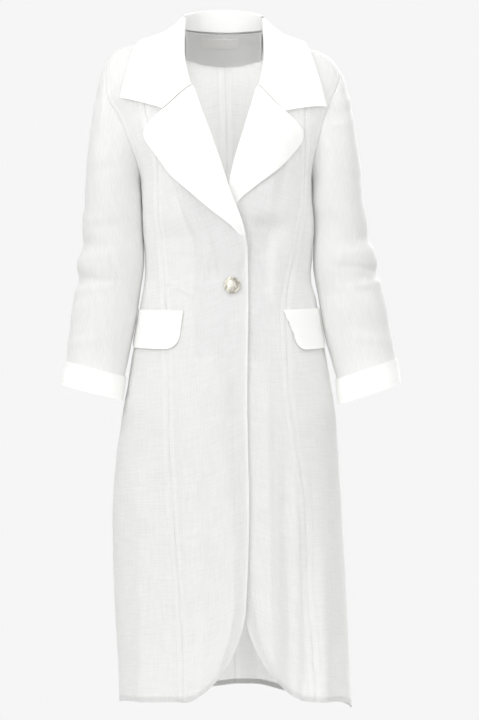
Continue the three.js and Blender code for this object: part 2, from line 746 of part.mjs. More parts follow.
// The sleeve's rings, down to where it ends inside its cuff
function sleeveStations(side) {
  const { top, bottom } = CUFF[name(side)];
  const inside = (t) => {
    const ring = ringAt([top, bottom], t);
    return { ...ring, across: ring.across - TUCKED.inside, deep: ring.deep - TUCKED.inside };
  };
  return [...SLEEVE[name(side)], inside(0), inside(TUCKED.down)];
}

function sleeve(side) {
  const stations = sleeveStations(side);
  const loop = armholeLoop(side);
  const rows = [];
  for (let k = 0; k < CAP_ROWS; k += 1) {
    const t = k / CAP_ROWS;
    rows.push(
      loop.map(({ around, at }) => {
        const end = ringPoint(side, stations[0], around, 0);
        const c = Math.cos(rad(around));
        const s = Math.sin(rad(around));
        const leaving = ({ outer, front, inner }) => lerp(front, c > 0 ? outer : inner, Math.abs(c));
        const outward = leaving(CAP.outward);
        const leave = new THREE.Vector3(side * outward, -CAP.forward * s, -leaving(CAP.down));
        const start = at.clone();
        start.x += side * lerp(CAP.start.inner, CAP.start.outer, (c + 1) / 2);
        const arrive = new THREE.Vector3(0, 0, -start.distanceTo(end) * CAP.arrive);
        const t2 = t * t;
        const t3 = t2 * t;
        return start
          .multiplyScalar(2 * t3 - 3 * t2 + 1)
          .addScaledVector(leave, t3 - 2 * t2 + t)
          .addScaledVector(end, 3 * t2 - 2 * t3)
          .addScaledVector(arrive, t3 - t2);
      }),
    );
  }
  for (const t of steps(ARM_ROWS)) {
    const down = lerp(CAP_END, 1, t);
    const ring = ringAt(stations, t);
    rows.push(loop.map(({ around }) => ringPoint(side, ring, around, creaseAt(down, around))));
  }
  return sheet(rows, CLOTH, true);
}

function cuff(side) {
  const { top, bottom } = CUFF[name(side)];
  const rows = steps(2).map((t) => {
    const ring = ringAt([top, bottom], t);
    return armholeLoop(side).map(({ around }) => ringPoint(side, ring, around, 0));
  });
  return sheet(rows, DOUBLE, true);
}

// Lift of a lapel over the front, from its roll to its free edge
const LAPEL_LIFT = { roll: 5.1, edge: 3.7, step: 1.2 };
// The left lapel lies closer where the right front crosses it
const LEFT_TUCK = { share: 0.66, from: -225, full: -300 };

// Cross-section of the roll: how far inboard and how far out of the front's cloth
const ROLL = [
  { inboard: 1.1, out: 0 },
  { inboard: 2.6, out: 1.6 },
  { inboard: 2.2, out: 3.9 },
  { inboard: -1.2, out: 4.8 },
];
const LAPEL_COLUMNS = 6;

function lapel(side) {
  const rows = LAPEL[name(side)].map(({ rollZ, u, z }) => {
    const rollU = frontEdge(side, rollZ);
    const closer = side === LEFT ? smooth(LEFT_TUCK.from, LEFT_TUCK.full, rollZ) : 0;
    const tuck = lerp(1, LEFT_TUCK.share, closer);
    const points = ROLL.map(({ inboard, out }) => {
      const base = frontOff(side, rollU, rollZ);
      return frontAt(side, rollU - inboard * tuck, rollZ, base + out * tuck);
    });
    for (let k = 1; k <= LAPEL_COLUMNS; k += 1) {
      const t = k / LAPEL_COLUMNS;
      const atU = lerp(rollU + LAPEL_LIFT.step, u, t);
      const atZ = lerp(rollZ, z, t);
      const lift = lerp(LAPEL_LIFT.roll, LAPEL_LIFT.edge, t) * tuck;
      points.push(frontAt(side, atU, atZ, frontOff(side, atU, atZ) + lift));
    }
    return points;
  });
  return sheet(rows, DOUBLE);
}

const COLLAR_FALL = 7;
const NOTCH_COLUMN = 3;
// The stand starts this high and lies inside the neck seam by a share of the width
const STAND = { start: 1.3, middle: 0.55, inside: [0.008, 0.012, 0.0096] };
// The fall starts outside the neck seam and drops from the stand to its free edge's lift
const FALL = { outside: 0.012, below: 0.5, drop: 3, edge: 5.6, behind: rad(9) };
const fallLift = (stand, k) => (stand - FALL.below) * Math.exp(-FALL.drop * k) + FALL.edge * k;

// One station of the collar: up the stand, over the fold and down to the free edge
function collarRow(side, station, first) {
  const { neck, edge, stand, upright } = station;
  const up = new THREE.Vector3(0, 0, 1);
  const place = (r, turn, rise, lean) => {
    const foot = high(side, r, turn, 0);
    const normal = high(side, r, turn, 1).sub(foot);
    return foot.addScaledVector(normal.lerp(up, lean).normalize(), rise);
  };
  const rises = [STAND.start, stand * STAND.middle, stand];
  const points = rises.map((rise, k) => place(neck.r - STAND.inside[k], neck.turn, rise, upright));
  for (let k = 0; k <= COLLAR_FALL; k += 1) {
    const t = k / COLLAR_FALL;
    let r = lerp(neck.r + FALL.outside, edge.r, t);
    let turn = lerp(neck.turn + station.outset, edge.turn, t);
    if (first) {
      const toNotch = Math.min(k / NOTCH_COLUMN, 1);
      const pastNotch = clamp((k - NOTCH_COLUMN) / (COLLAR_FALL - NOTCH_COLUMN), 0, 1);
      r = lerp(lerp(neck.r + FALL.outside, first.r, toNotch), edge.r, pastNotch);
      turn = lerp(lerp(neck.turn, first.turn, toNotch), edge.turn, pastNotch);
    }
    points.push(place(r, turn, fallLift(stand, t), upright * (1 - t)));
  }
  return points;
}

function collarStations(side) {
  const front = COLLAR[name(side)].map(({ neckU, neckZ, edgeU, edgeZ, stand, upright }) => ({
    neck: shareAndTurn(side, neckU, neckZ),
    edge: shareAndTurn(side, edgeU, edgeZ),
    stand,
    upright,
    outset: 0,
  }));
  const over = {
    neck: { r: NECK_SHARE, turn: Math.PI / 2 },
    edge: { r: COLLAR.shoulder.share, turn: Math.PI / 2 },
    stand: COLLAR.shoulder.stand,
    upright: 1,
    outset: 0,
  };
  const behind = COLLAR.behind.map(({ neckShare, edgeShare, edgeAngle, stand }) => ({
    neck: { r: neckShare, turn: JUST_BEHIND },
    edge: { r: edgeShare, turn: rad(edgeAngle) },
    stand,
    upright: 1,
    outset: FALL.behind * (1 - neckShare / NECK_SHARE),
  }));
  return [...front, over, ...behind];
}

function collar() {
  const half = (side) => {
    const notch = COLLAR.notch[name(side)];
    const bend = shareAndTurn(side, notch.u, notch.z);
    return collarStations(side).map((station, i) => collarRow(side, station, i === 0 && bend));
  };
  const right = half(RIGHT);
  const left = half(LEFT).slice(0, -1).reverse();
  return sheet([...right, ...left], DOUBLE);
}

// Front facing: a strip inside the front edge that widens above the pocket line
function facing(panel) {
  const { points } = panel;
  const widthAt = (i) => {
    const here = between(points, i, 0);
    const goal = here.z < FACING.wideFrom ? FACING.strip : FACING.wide;
    let j = 0;
    while (j < FACING.widest && between(points, i, j).distanceTo(here) < goal) j += FACING.search;
    return j;
  };
  const turnRow = points.findIndex((row) => row[0].z > FACING.wideFrom) - 1;
  const span = points[turnRow + 1][0].z - points[turnRow][0].z;
  const widen = turnRow + (FACING.wideFrom - points[turnRow][0].z) / span;
  const last = ROWS_BELOW + ROWS_ARM;
  const whole = Array.from({ length: last - 1 }, (_, i) => i + 1);
  const lines = [FACING.first, ...whole, last - FACING.last, widen - FACING.step, widen + FACING.step];
  lines.sort((one, other) => one - other);
  const rows = lines.map((i) => {
    const width = widthAt(i);
    const across = steps(FACING.columns).map((s) => FACING.inset + s * width);
    return across.map((j) => onPanel(panel, i, j, -CLOTH - INNER_LAYER));
  });
  return sheet(rows, CLOTH);
}

// Back neck facing, inside the back below the neck seam
function neckFacing(backs) {
  const top = ROWS_BELOW + ROWS_ARM + ROWS_OVER;
  const rows = NECK_FACING.lines.map((down) => {
    const rise = down < NECK_FACING.straight ? 0 : NECK_FACING.rise;
    const half = (panel) =>
      steps(COLUMNS.neck).map((t) => {
        const line = top - down + rise * t * t;
        return onPanel(panel, line, t * COLUMNS.neck, -CLOTH - NECK_LAYER);
      });
    return [...half(backs.right).reverse(), ...half(backs.left).slice(1)];
  });
  return sheet(rows, CLOTH);
}

// The blank label, on the inside of the back neck facing
function label(backs) {
  const off = -(CLOTH + NECK_LAYER) - CLOTH - LAYER * 2;
  const top = ROWS_BELOW + ROWS_ARM + ROWS_OVER;
  const columnAt = (panel, i, x) => {
    let j = 0;
    const reached = () => Math.abs(between(panel.points, i, j).x) >= Math.abs(x);
    while (!reached() && j < COLUMNS.neck) j += LABEL.search;
    return j;
  };
  const rows = LABEL.lines.map((down) =>
    steps(LABEL.columns).map((s) => {
      const x = LABEL.x + LABEL.width * (s - 0.5);
      const panel = x < 0 ? backs.right : backs.left;
      return onPanel(panel, top - down, columnAt(panel, top - down, x), off);
    }),
  );
  return sheet(rows, LABEL.wall);
}

function flap(side) {
  const shape = FLAP[name(side)];
  const grid = steps(FLAP_GRID.rows).map((t) =>
    steps(FLAP_GRID.columns).map((s) => {
      const z0 = shape.top - shape.slope * (1 - s);
      const start = angleOf(section(side, FRONT, z0), shape.u + shape.lean * t);
      const angle = lerp(start, FLAP_END, s);
      const fromEnd = Math.min(s, 1 - s) * FLAP_WIDTH;
      const corner = clamp(1 - fromEnd / shape.corner, 0, 1);
      const lift = shape.corner * (1 - Math.sqrt(1 - corner ** 2));
      const z = z0 - t * (shape.deep - lift);
      const middle = section(side, FRONT, z);
      const u = middle.across * power(Math.sin(angle), 2 / ROUND);
      return low(side, FRONT, angle, z, frontOff(side, u, z) + FLAP_LIFT);
    }),
  );
  return sheet(grid, DOUBLE);
}

function button() {
  const outline = BUTTON_OUTLINE.map(([r, h]) => new THREE.Vector2(r, h));
  return new THREE.LatheGeometry(outline, BUTTON.segments);
}

const colour = (hex, roughness) =>
  new THREE.MeshStandardMaterial({ color: hex, roughness, metalness: 0 });
const linen = colour(0xf1f1ee, 0.9);
const doubled = colour(0xfbfbf8, 0.88);
const shell = colour(0xc9c6bb, 0.25);
const tape = colour(0xf6f5f1, 0.7);

const blazer = new THREE.Group();
function add(title, geometry, material) {
  const mesh = new THREE.Mesh(geometry, material);
  mesh.name = title;
  blazer.add(mesh);
  return mesh;
}

// A panel's points with the directions out of the garment
function withNormals(points) {
  const normals = normalsOf(points);
  const middle = Math.floor(points.length / 2);
  const outward = normals[middle][1].y * points[middle][1].y > 0 ? 1 : -1;
  for (const row of normals) for (const normal of row) normal.multiplyScalar(outward);
  return { points, normals };
}

const backs = {};
for (const side of [RIGHT, LEFT]) {
  const front = withNormals(frontPanel(side));
  const back = withNormals(backPanel(side));
  backs[name(side)] = back;
  add(`front_${name(side)}`, sheet(front.points, CLOTH), linen);
  add(`side_front_${name(side)}`, sheet(sidePanel(side), CLOTH), linen);
  add(`back_${name(side)}`, sheet(back.points, CLOTH), linen);
  add(`sleeve_${name(side)}`, sleeve(side), linen);
  add(`cuff_${name(side)}`, cuff(side), doubled);
  add(`lapel_${name(side)}`, lapel(side), doubled);
  add(`front_facing_${name(side)}`, facing(front), doubled);
  add(`pocket_flap_${name(side)}`, flap(side), doubled);
}
add('collar', collar(), doubled);
add('back_neck_facing', neckFacing(backs), doubled);
add('label', label(backs), tape);

const seat = frontAt(RIGHT, -BUTTON.x, WAIST_BUTTON, frontOff(RIGHT, -BUTTON.x, WAIST_BUTTON));
const disc = add('button', button(), shell);
disc.rotation.x = Math.PI;
disc.position.set(seat.x, seat.y - CLOTH / 2 - BUTTON.shank, seat.z);

export default blazer;
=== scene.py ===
"""A long, open-collared blazer in sheer white linen, held in the form it has when worn.

Sizes in the tables are millimetres, as they were measured on the garment, and every mesh is in metres.
The front faces -Y, the wearer's left is +X, and the origin is the middle of the neck base.
"right" and "left" are the wearer's.
"""

import math

import bpy
import numpy as np
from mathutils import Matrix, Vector, noise


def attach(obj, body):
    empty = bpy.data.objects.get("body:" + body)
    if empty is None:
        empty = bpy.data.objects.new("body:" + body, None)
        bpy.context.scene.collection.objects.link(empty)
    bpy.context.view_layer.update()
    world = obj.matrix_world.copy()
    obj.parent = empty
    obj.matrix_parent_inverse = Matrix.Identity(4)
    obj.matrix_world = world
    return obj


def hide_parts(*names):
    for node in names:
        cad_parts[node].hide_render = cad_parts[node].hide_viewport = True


bl_info = {
    "name": "Long linen blazer",
    "version": (1, 0, 0),
    "blender": (4, 5, 0),
    "location": "3D View > Sidebar > Blazer",
    "description": "Builds a long sheer linen blazer, its button and a pale studio",
    "category": "Object",
}

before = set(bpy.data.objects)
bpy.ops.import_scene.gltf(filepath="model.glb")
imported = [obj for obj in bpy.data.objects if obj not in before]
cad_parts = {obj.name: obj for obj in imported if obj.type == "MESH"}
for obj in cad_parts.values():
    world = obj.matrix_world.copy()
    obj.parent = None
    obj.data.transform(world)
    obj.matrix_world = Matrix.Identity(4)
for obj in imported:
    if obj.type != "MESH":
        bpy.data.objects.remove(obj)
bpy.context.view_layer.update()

MM = 0.001
RIGHT, LEFT = -1, 1
FRONT, BACK = -1, 1
COLUMN = {RIGHT: 1, LEFT: 2}
NAME = {RIGHT: "right", LEFT: "left"}

# Heights
CHEST = -168
ARMPIT = -268
WAIST_BUTTON = -450
HEM = -1150

# Half widths of the body by height: right, left
WIDTH = (
    (-62, 203, 197.5),
    (-82, 203.3, 197.5),
    (-100, 203, 196),
    (-120, 202, 188.5),
    (-134, 198, 181),
    (-150, 187.5, 174),
    (-168, 178, 168.5),
    (-198, 167, 159.5),
    (-232, 154.5, 150.5),
    (-268, 147, 145.5),
    (-350, 145, 148.5),
    (-400, 141.7, 144.8),
    (-438, 143, 141.8),
    (-480, 151, 151),
    (-530, 160, 158.5),
    (-610, 173.5, 171.5),
    (-680, 187.5, 181.3),
    (-765, 199.5, 185.2),
    (-850, 205, 189),
    (-1000, 203.5, 194.8),
    (-1070, 200, 196.5),
    (-1180, 197.5, 200),
)
# Reach forward and back of the side seams by height: front, back
DEPTH = (
    (-168, 104, 103),
    (-230, 112, 103),
    (-268, 113, 100),
    (-340, 106, 92),
    (-430, 99, 84),
    (-520, 104, 95),
    (-620, 111, 112),
    (-760, 119, 127),
    (-900, 128, 136),
    (-1180, 142, 147),
)
# Height of the shoulder line by the share of the way out to the armhole: right, left
SHOULDER = (
    (0, -5, -5),
    (0.34, -4.5, -8),
    (0.5, -16.3, -22.5),
    (0.68, -28, -36.5),
    (0.75, -31.8, -44),
    (0.82, -34, -49.5),
    (0.89, -38.5, -57),
    (0.945, -45, -65.5),
    (1, -62, -82),
)
# Inner edge of each front, outwards from the middle: neck, roll line, then front edge
FRONT_EDGE = (
    (-4, 69, 67),
    (-35, 69.5, 68.8),
    (-60, 69.5, 68.8),
    (-77, 66.6, 67.5),
    (-103, 58.6, 60),
    (-166, 37.6, 39.8),
    (-230, 15.1, 19.4),
    (-284, -0.9, 4.2),
    (-344, -21.8, -11),
    (-378, -32, -22.5),
    (-400, -33, -25),
    (-475, -33.1, -24),
    (-650, -28.7, -14),
    (-828, -29, 1),
    (-913, -26, 10),
    (-980, -22, 17),
    (-1000, -20, 19),
)
# The rounded lower corner of each front: middle, top, width, height, power, split
CORNER = {
    RIGHT: (84, -980, 106, 168, 1.7, -1096),
    LEFT: (112, -1000, 93, 148, 1.5, -1100),
}
# Hem height by the distance from the middle: right, left
HEM_FRONT = (
    (0, -1148, -1148),
    (84, -1148, -1148),
    (130, -1149.5, -1153),
    (165, -1152, -1158),
    (200, -1159, -1176),
)
HEM_BACK = (
    (0, -1148, -1148),
    (35, -1153, -1150),
    (78, -1156, -1159),
    (140, -1158, -1168),
    (200, -1159, -1176),
)
# Shoulder princess seams, outwards from the middle: right, left
PRINCESS = (
    (-30, 140, 136),
    (-100, 139, 136),
    (-164, 134, 135),
    (-232, 117, 134.5),
    (-306, 115.5, 130.5),
    (-392, 111.5, 115.6),
    (-480, 106, 97.8),
    (-561, 105, 97.7),
    (-645, 104.6, 101.4),
    (-730, 104.2, 111.8),
    (-798, 101.2, 121),
    (-848, 98.6, 125),
    (-983, 90.5, 128),
    (-1051, 87.2, 132),
    (-1150, 87, 136),
)
# Soft folds: face, x and z at the top, x and z at the bottom, half width, height
FOLDS = (
    (FRONT, -72, -200, -78, -330, 34, 7),
    (FRONT, 78, -215, 80, -325, 32, 8),
    (FRONT, -46, -305, -18, -420, 20, -3.5),
    (FRONT, 52, -335, 68, -395, 20, -3.5),
    (FRONT, 84, -370, 74, -470, 13, 4),
    (FRONT, 62, -560, 64, -1060, 15, 8),
    (FRONT, 92, -700, 96, -1090, 13, -7),
    (FRONT, 122, -840, 120, -1120, 12, -8),
    (FRONT, 150, -880, 150, -1150, 13, 9),
    (FRONT, -60, -620, -58, -1080, 20, 6),
    (FRONT, -112, -700, -108, -1130, 16, -8),
    (FRONT, -150, -760, -152, -1140, 17, 8),
    (BACK, -34, -560, -44, -1140, 20, 9),
    (BACK, 38, -600, 46, -1140, 20, 8),
    (BACK, -84, -620, -98, -1140, 18, -10),
    (BACK, 88, -640, 100, -1140, 18, -9),
    (BACK, -126, -700, -148, -1140, 17, 8),
    (BACK, 128, -700, 148, -1140, 17, 8),
    (BACK, -50, -330, -62, -470, 18, -4),
    (BACK, 52, -340, 60, -460, 18, -4),
)
# Narrow creases of the real cloth, in the same form
CREASES = (
    (FRONT, -52, -292, -14, -432, 6, -1.6),
    (FRONT, -62, -318, -30, -440, 7, 1.4),
    (FRONT, 44, -352, 20, -442, 6, -1.3),
    (FRONT, 58, -470, 66, -560, 8, 1.2),
    (FRONT, -60, -470, -52, -560, 8, -1.2),
    (FRONT, -128, -430, -60, -462, 7, 1.2),
    (FRONT, 128, -440, 60, -466, 7, 1.2),
    (FRONT, 74, -600, 70, -980, 6, -1.3),
    (FRONT, 106, -640, 112, -1040, 6, 1.4),
    (FRONT, 136, -700, 138, -1100, 6, -1.2),
    (FRONT, -84, -640, -80, -1060, 7, 1.2),
    (FRONT, -132, -680, -128, -1080, 6, -1.2),
    (BACK, -20, -380, -62, -452, 8, 1.4),
    (BACK, 22, -384, 64, -456, 8, 1.4),
    (BACK, -110, -300, -60, -420, 8, -1.2),
    (BACK, 110, -300, 60, -420, 8, -1.2),
)
# How folds and creases fade: share of their length, longest fade, and strength at the top
FOLD_FADE, LONGEST_FADE, FOLD_START = 0.3, 120, 0.45
RUNS_OUT_BELOW = -1050
NO_FOLDS_ABOVE, FULL_FOLDS_BELOW = -110, -175
ROUND = 2.2
ARM_HALF_DEPTH, ARMHOLE_BEND = 54, 0.8
NECKLINE_BEND = (2.4, 1.7)
NECK_SHARE = 0.34
NECK_BACK = 72
RIDGE_AT_NECK = 8
JUST_BEHIND = math.pi / 2 + 0.0001
# The right front laps over the left one: offset, heights where it grows, share it fades to
LAP = {RIGHT: 3.6, LEFT: -2.4}
LAP_GROWS, LAP_FADES = (-195, -280), (1, 0.62)
# It lies further out over the left lapel: offset, upper and lower heights, distances out
OVER_LAPEL = 3.6
OVER_STARTS, OVER_ENDS, OVER_FADES = (-255, -285), (-440, -395), (60, 25)

# Sleeve rings: x, y, z, half width across, half depth, tilt in degrees
SLEEVE = {
    RIGHT: (
        (198, 1, -305, 46, 61, 0),
        (199.6, 0, -350, 49.5, 61, 1),
        (202.5, -3, -418, 53.6, 60, 4),
        (209.5, -8, -472, 55, 58.5, 9),
        (219.5, -14, -530, 54, 57, 12.5),
    ),
    LEFT: (
        (191.5, 4, -305, 41.5, 60, 0),
        (196.8, 3, -350, 44.6, 60, 2),
        (201.5, 1, -415, 52.5, 59, 5),
        (210, -3, -470, 55, 58, 10),
        (220.5, -8, -530, 55.8, 57, 14),
    ),
}
CUFF = {
    RIGHT: ((229.6, -20.2, -587, 53, 56.4, 15.5), (236.2, -24, -628, 54, 56.9, 15.5)),
    LEFT: ((234.2, -14, -594.5, 55, 56.9, 18), (239.2, -18, -638, 56.6, 57.4, 18)),
}
TUCK_DOWN, TUCK_INSIDE = 0.3, 2
# How the cap leaves the armhole at its inner, front and outer sides: outwards, and down
CAP_AWAY, CAP_DOWN, CAP_FORWARD = (12, 30, 44), (16, 60, 14), 12
# How strongly it arrives at the first ring, its gap from the body, and the uncrushed share
CAP_ARRIVE, CAP_GAP, CAP_PLAIN = 0.95, (0.6, 0.3), 0.12
# How far the inner side of each sleeve leans to the body, between which heights, and degrees
INNER_BULGE = {RIGHT: 6, LEFT: 4}
BULGE_STARTS, BULGE_ENDS, BULGE_ROUND = (-262, -300), (-470, -400), 50
CREASES_FROM = 0.35
CUFF_SWELL, CUFF_GROOVE, GROOVE_AT, GROOVE_REACH = 0.7, 0.5, 0.86, 0.03
# Sleeve creases: share of the way down, direction round, reach down, reach round, height
SLEEVE_CREASES = (
    (0.5, 20, 0.025, 70, -4.5),
    (0.56, 20, 0.028, 75, 3.5),
    (0.62, 15, 0.025, 60, -3.5),
    (0.45, 110, 0.04, 50, -3),
    (0.72, 60, 0.05, 60, 3),
    (0.55, 200, 0.05, 40, -2),
)
# Where each lapel rolls out and where its free edge lies: roll height, edge out, edge height
LAPEL = {
    RIGHT: (
        (-109, 103.5, -148.5),
        (-122, 122.5, -166),
        (-140, 134, -179),
        (-160, 137.4, -191),
        (-180, 133.5, -204),
        (-208, 114, -230),
        (-240, 93, -258),
        (-272, 65, -286),
        (-306, 32, -318),
        (-340, -3, -347),
        (-366, -23, -368),
    ),
    LEFT: (
        (-112, 98.5, -157),
        (-126, 117, -173),
        (-144, 127, -186),
        (-164, 129.4, -199),
        (-186, 123, -214.5),
        (-212, 102, -238),
        (-242, 78, -260),
        (-274, 48, -284),
        (-306, 22, -306),
        (-338, 5, -330),
        (-364, -9, -356),
    ),
}
# The lapel's lift at the roll and at the edge, its flatter ends, and how the left one flattens
LAPEL_LIFT, LAPEL_START, LAPEL_STEP = (4.6, 3.2), 0.42, 1.2
LAPEL_END, LEFT_TUCK, TUCK_FROM = 0.7, 0.66, (-225, -300)
# Collar stations in front: neck out and height, edge out and height, stand, uprightness
COLLAR = {
    RIGHT: (
        (58, -112, 175, -128, 5, 0),
        (64.5, -88, 171, -110, 5.5, 0),
        (68.8, -66, 164.5, -87, 7, 0.1),
        (69.5, -44, 158, -62, 10, 0.35),
        (69.3, -22, 150.5, -42.5, 15, 0.75),
    ),
    LEFT: (
        (58, -115, 169.5, -148.5, 5, 0),
        (64.5, -92, 164, -128, 5.5, 0),
        (68, -70, 157, -99, 7, 0.1),
        (68.8, -48, 149.5, -74, 10, 0.35),
        (68.3, -26, 141, -51.5, 15, 0.75),
    ),
}
COLLAR_OVER = (0.672, 20)
NOTCH = {RIGHT: (105.5, -149.5), LEFT: (100.5, -157)}
# The stand lies inside the neck seam and the fall starts outside it, in shares of the width
STAND_INSIDE, FALL_OUTSIDE = 0.008, 0.012
# Rows up the stand, its lowest height, the fall's lift at its edge, its turn behind in degrees
STAND_ROWS, STAND_FOOT, FALL_LIFT, FALL_OUTSET = 8, 0.3, 5.6, 9
# Collar stations behind: neck share, edge share, edge angle over the shoulder, stand
COLLAR_BEHIND = (
    (0.325, 0.62, 107, 25),
    (0.28, 0.5, 119, 30),
    (0.2, 0.34, 127, 35),
    (0.1, 0.17, 132, 38),
    (0, 0, 134, 39),
)
# Wrinkles of the sleeves: height, direction round, tilt, reach down, reach round, lift
SLEEVE_WRINKLES = {
    RIGHT: (
        (-120, 30, 0.10, 7, 50, -1.6),
        (-175, 330, -0.12, 9, 50, 1.5),
        (-250, 60, 0.14, 9, 60, -1.4),
        (-330, 20, -0.10, 10, 60, 1.6),
        (-398, 40, 0.12, 8, 70, 1.8),
        (-430, 30, -0.10, 7, 70, -2.0),
        (-452, 50, 0.10, 7, 60, 1.8),
        (-540, 60, 0.08, 9, 50, 1.4),
    ),
    LEFT: (
        (-122, 45, -0.16, 5, 60, -1.8),
        (-138, 50, -0.14, 5, 60, 1.8),
        (-156, 55, -0.12, 6, 60, -1.6),
        (-176, 60, -0.10, 6, 50, 1.3),
        (-268, 40, 0.12, 9, 60, -1.5),
        (-392, 30, -0.12, 8, 70, 1.8),
        (-424, 40, 0.10, 7, 70, -2.0),
        (-448, 30, -0.10, 7, 60, 1.8),
        (-545, 60, 0.08, 9, 50, 1.4),
    ),
}
# Cross-section of a roll: how far inboard and how far out of the front's cloth
ROLL = ((1.1, 0), (2.6, 1.6), (2.2, 3.9), (-1.2, 4.8))
# Pocket flaps: out, top, slope, depth, lean, corner
FLAP = {RIGHT: (75.8, -486, 6, 65, 2, 24), LEFT: (92.3, -489, 4, 68, 12, 26)}
FLAP_LIFT = 2.2
FACING_STRIP, FACING_WIDE, FACING_WIDE_FROM = 24, 92, -562
BUTTON_X, BUTTON_RADIUS, BUTTON_WALL, BUTTON_SHANK = 6.6, 14, 3.4, 1.6
LABEL_X, LABEL_WIDTH = -8, 65
# Rows and columns of half the back neck facing. Its depths are sixths of the back's top part.
NECK_GRID, NECK_DEPTHS, NECK_RISE = (34, 30), (0.06, 3.3), 0.4
LABEL_GRID, LABEL_ROWS = (14, 44), (11.9, 21.5)
# Flap: how high it is compared with its corners, where it ends, and how far it swings out
FLAP_HEIGHT, FLAP_END, FLAP_SWING = 130, 86, 1.6

# The fine grids
ROWS_BELOW, ROWS_ARM, ROWS_OVER = 150, 26, 48
COLUMNS_FRONT, COLUMNS_SIDE, COLUMNS_NECK, COLUMNS_BACK = 84, 44, 44, 62
SLEEVE_COLUMNS, CAP_ROWS, ARM_ROWS = 110, 44, 110
LAPEL_ROWS, LAPEL_COLUMNS = 100, 44
COLLAR_ROWS, COLLAR_COLUMNS = 90, 36

SLEEVE_ROUND = np.arange(SLEEVE_COLUMNS) * 360 / SLEEVE_COLUMNS

# Cloth
WALL = 0.8
SEAM_GAP = 0.06
SEAM_DIP, SEAM_DIP_REACH = 0.7, 1.6
HEM_GAP, HEM_DEEP = 0.95, 8
# Heights of the lowest rows over the hem. The hem is turned up to the row at its depth.
HEM_LINES = (0, 0.5, 1, 2, 3.5, 5.5, HEM_DEEP, 8.7, 9.5, 12)
HEM_ROWS = HEM_LINES.index(HEM_DEEP)
SEAM_ALLOWANCE = 10
CRUMPLE_SIZE, CRUMPLE_HEIGHT = 48, 1.0
FACING_DEPTH = 2.4
NECK_FACING_DEPTH = 3.3
LABEL_LIFT = 1.2
# Where the weave's pattern starts across a panel, and the reach of it round half a sleeve
GRAIN_START, SLEEVE_GRAIN = 300, 170
# How far light spreads inside the cloth, in metres
THROUGH = 3.0 * MM

# Camera and lights: metres and watts. Lights: name, place, size, power.
CAMERA_PLACE = (0.0172, -5.0, -0.5762)
CAMERA_LENS = 145.35
CAMERA_ROLL = -0.93
WORLD_STRENGTH, BACKDROP_STRENGTH = 0.84, 0.98
LIT_PLACE = (0, 0, -0.55)
FLOOR_REACH = 1.6
LIGHTS = (
    ("Key", (-2.2, -3.0, 1.3), 1.4, 50),
    ("Fill", (0.7, -3.4, -0.5), 1.8, 30),
    ("Back", (1.4, 3.0, 1.2), 1.6, 100),
    ("Top", (0.1, -1.5, 2.0), 1.2, 18),
)


def linear(hex_code):
    """An sRGB hex colour as the linear colour that the shader takes."""
    parts = [int(hex_code[k : k + 2], 16) / 255 for k in (1, 3, 5)]
    return [p / 12.92 if p <= 0.04045 else ((p + 0.055) / 1.055) ** 2.4 for p in parts]


# Curves and the form of the body


def hermite(t):
    """Weights of the start, its slope, the end and its slope."""
    t2, t3 = t * t, t * t * t
    return 2 * t3 - 3 * t2 + 1, t3 - 2 * t2 + t, 3 * t2 - 2 * t3, t3 - t2


def curve(table, v, column):
    """Smooth curve through a table's rows, read at v."""
    rows = np.asarray(table, float)
    if rows[0, 0] > rows[-1, 0]:
        rows = rows[::-1]
    x, y = rows[:, 0], rows[:, column]
    ends = np.r_[0, np.arange(len(x)), len(x) - 1]
    slopes = (y[ends[2:]] - y[ends[:-2]]) / (x[ends[2:]] - x[ends[:-2]])
    v = np.asarray(v, float)
    i = np.clip(np.searchsorted(x, v, side="right") - 1, 0, len(x) - 2)
    span = x[i + 1] - x[i]
    start, leave, end, arrive = hermite(np.clip((v - x[i]) / span, 0, 1))
    first = start * y[i] + leave * slopes[i] * span
    return first + end * y[i + 1] + arrive * slopes[i + 1] * span


def smooth(start, end, v):
    t = np.clip((v - start) / (end - start), 0, 1)
    return t * t * (3 - 2 * t)


def lerp(a, b, t):
    return a + (b - a) * t


def power(v, p):
    return np.sign(v) * np.abs(v) ** p


def half_width(side, z):
    return curve(WIDTH, z, COLUMN[side])


def shoulder_z(side, r):
    return curve(SHOULDER, np.clip(r, 0, 1), COLUMN[side])


def arm_depth(z):
    """Half the armhole's depth at a height below the chest line."""
    up = np.clip((z - ARMPIT) / (CHEST - ARMPIT), 0, 1)
    return ARM_HALF_DEPTH * np.sin(up * math.pi / 2) ** ARMHOLE_BEND


def folds(table, face, x, z):
    """Height of the folds over the plain body."""
    total = np.zeros(np.broadcast(x, z).shape)
    for fold_face, x1, z1, x2, z2, wide, height in table:
        if fold_face != face:
            continue
        t = np.clip((z - z1) / (z2 - z1), 0, 1)
        end = min(FOLD_FADE * abs(z1 - z2), LONGEST_FADE)
        begins = smooth(z1 + end * 0.5, z1 - end, z)
        runs_out = z2 < RUNS_OUT_BELOW
        strength = begins * (lerp(FOLD_START, 1, t) if runs_out else smooth(z2 - end, z2, z))
        total = total + height * strength * np.exp(-(((x - lerp(x1, x2, t)) / wide) ** 2))
    return total


def section(side, face, z):
    """Depth, width and end angle of the plain section at a height."""
    deep = curve(DEPTH, z, 1 if face == FRONT else 2)
    share = arm_depth(z) / deep
    across = half_width(side, z) / (1 - share**ROUND) ** (1 / ROUND)
    return deep, across, np.arccos(share ** (ROUND / 2))


def angle_of(across, u):
    return np.arcsin(np.clip(power(u / across, ROUND / 2), -1, 1))


def out_at(across, angle):
    return across * power(np.sin(angle), 2 / ROUND)


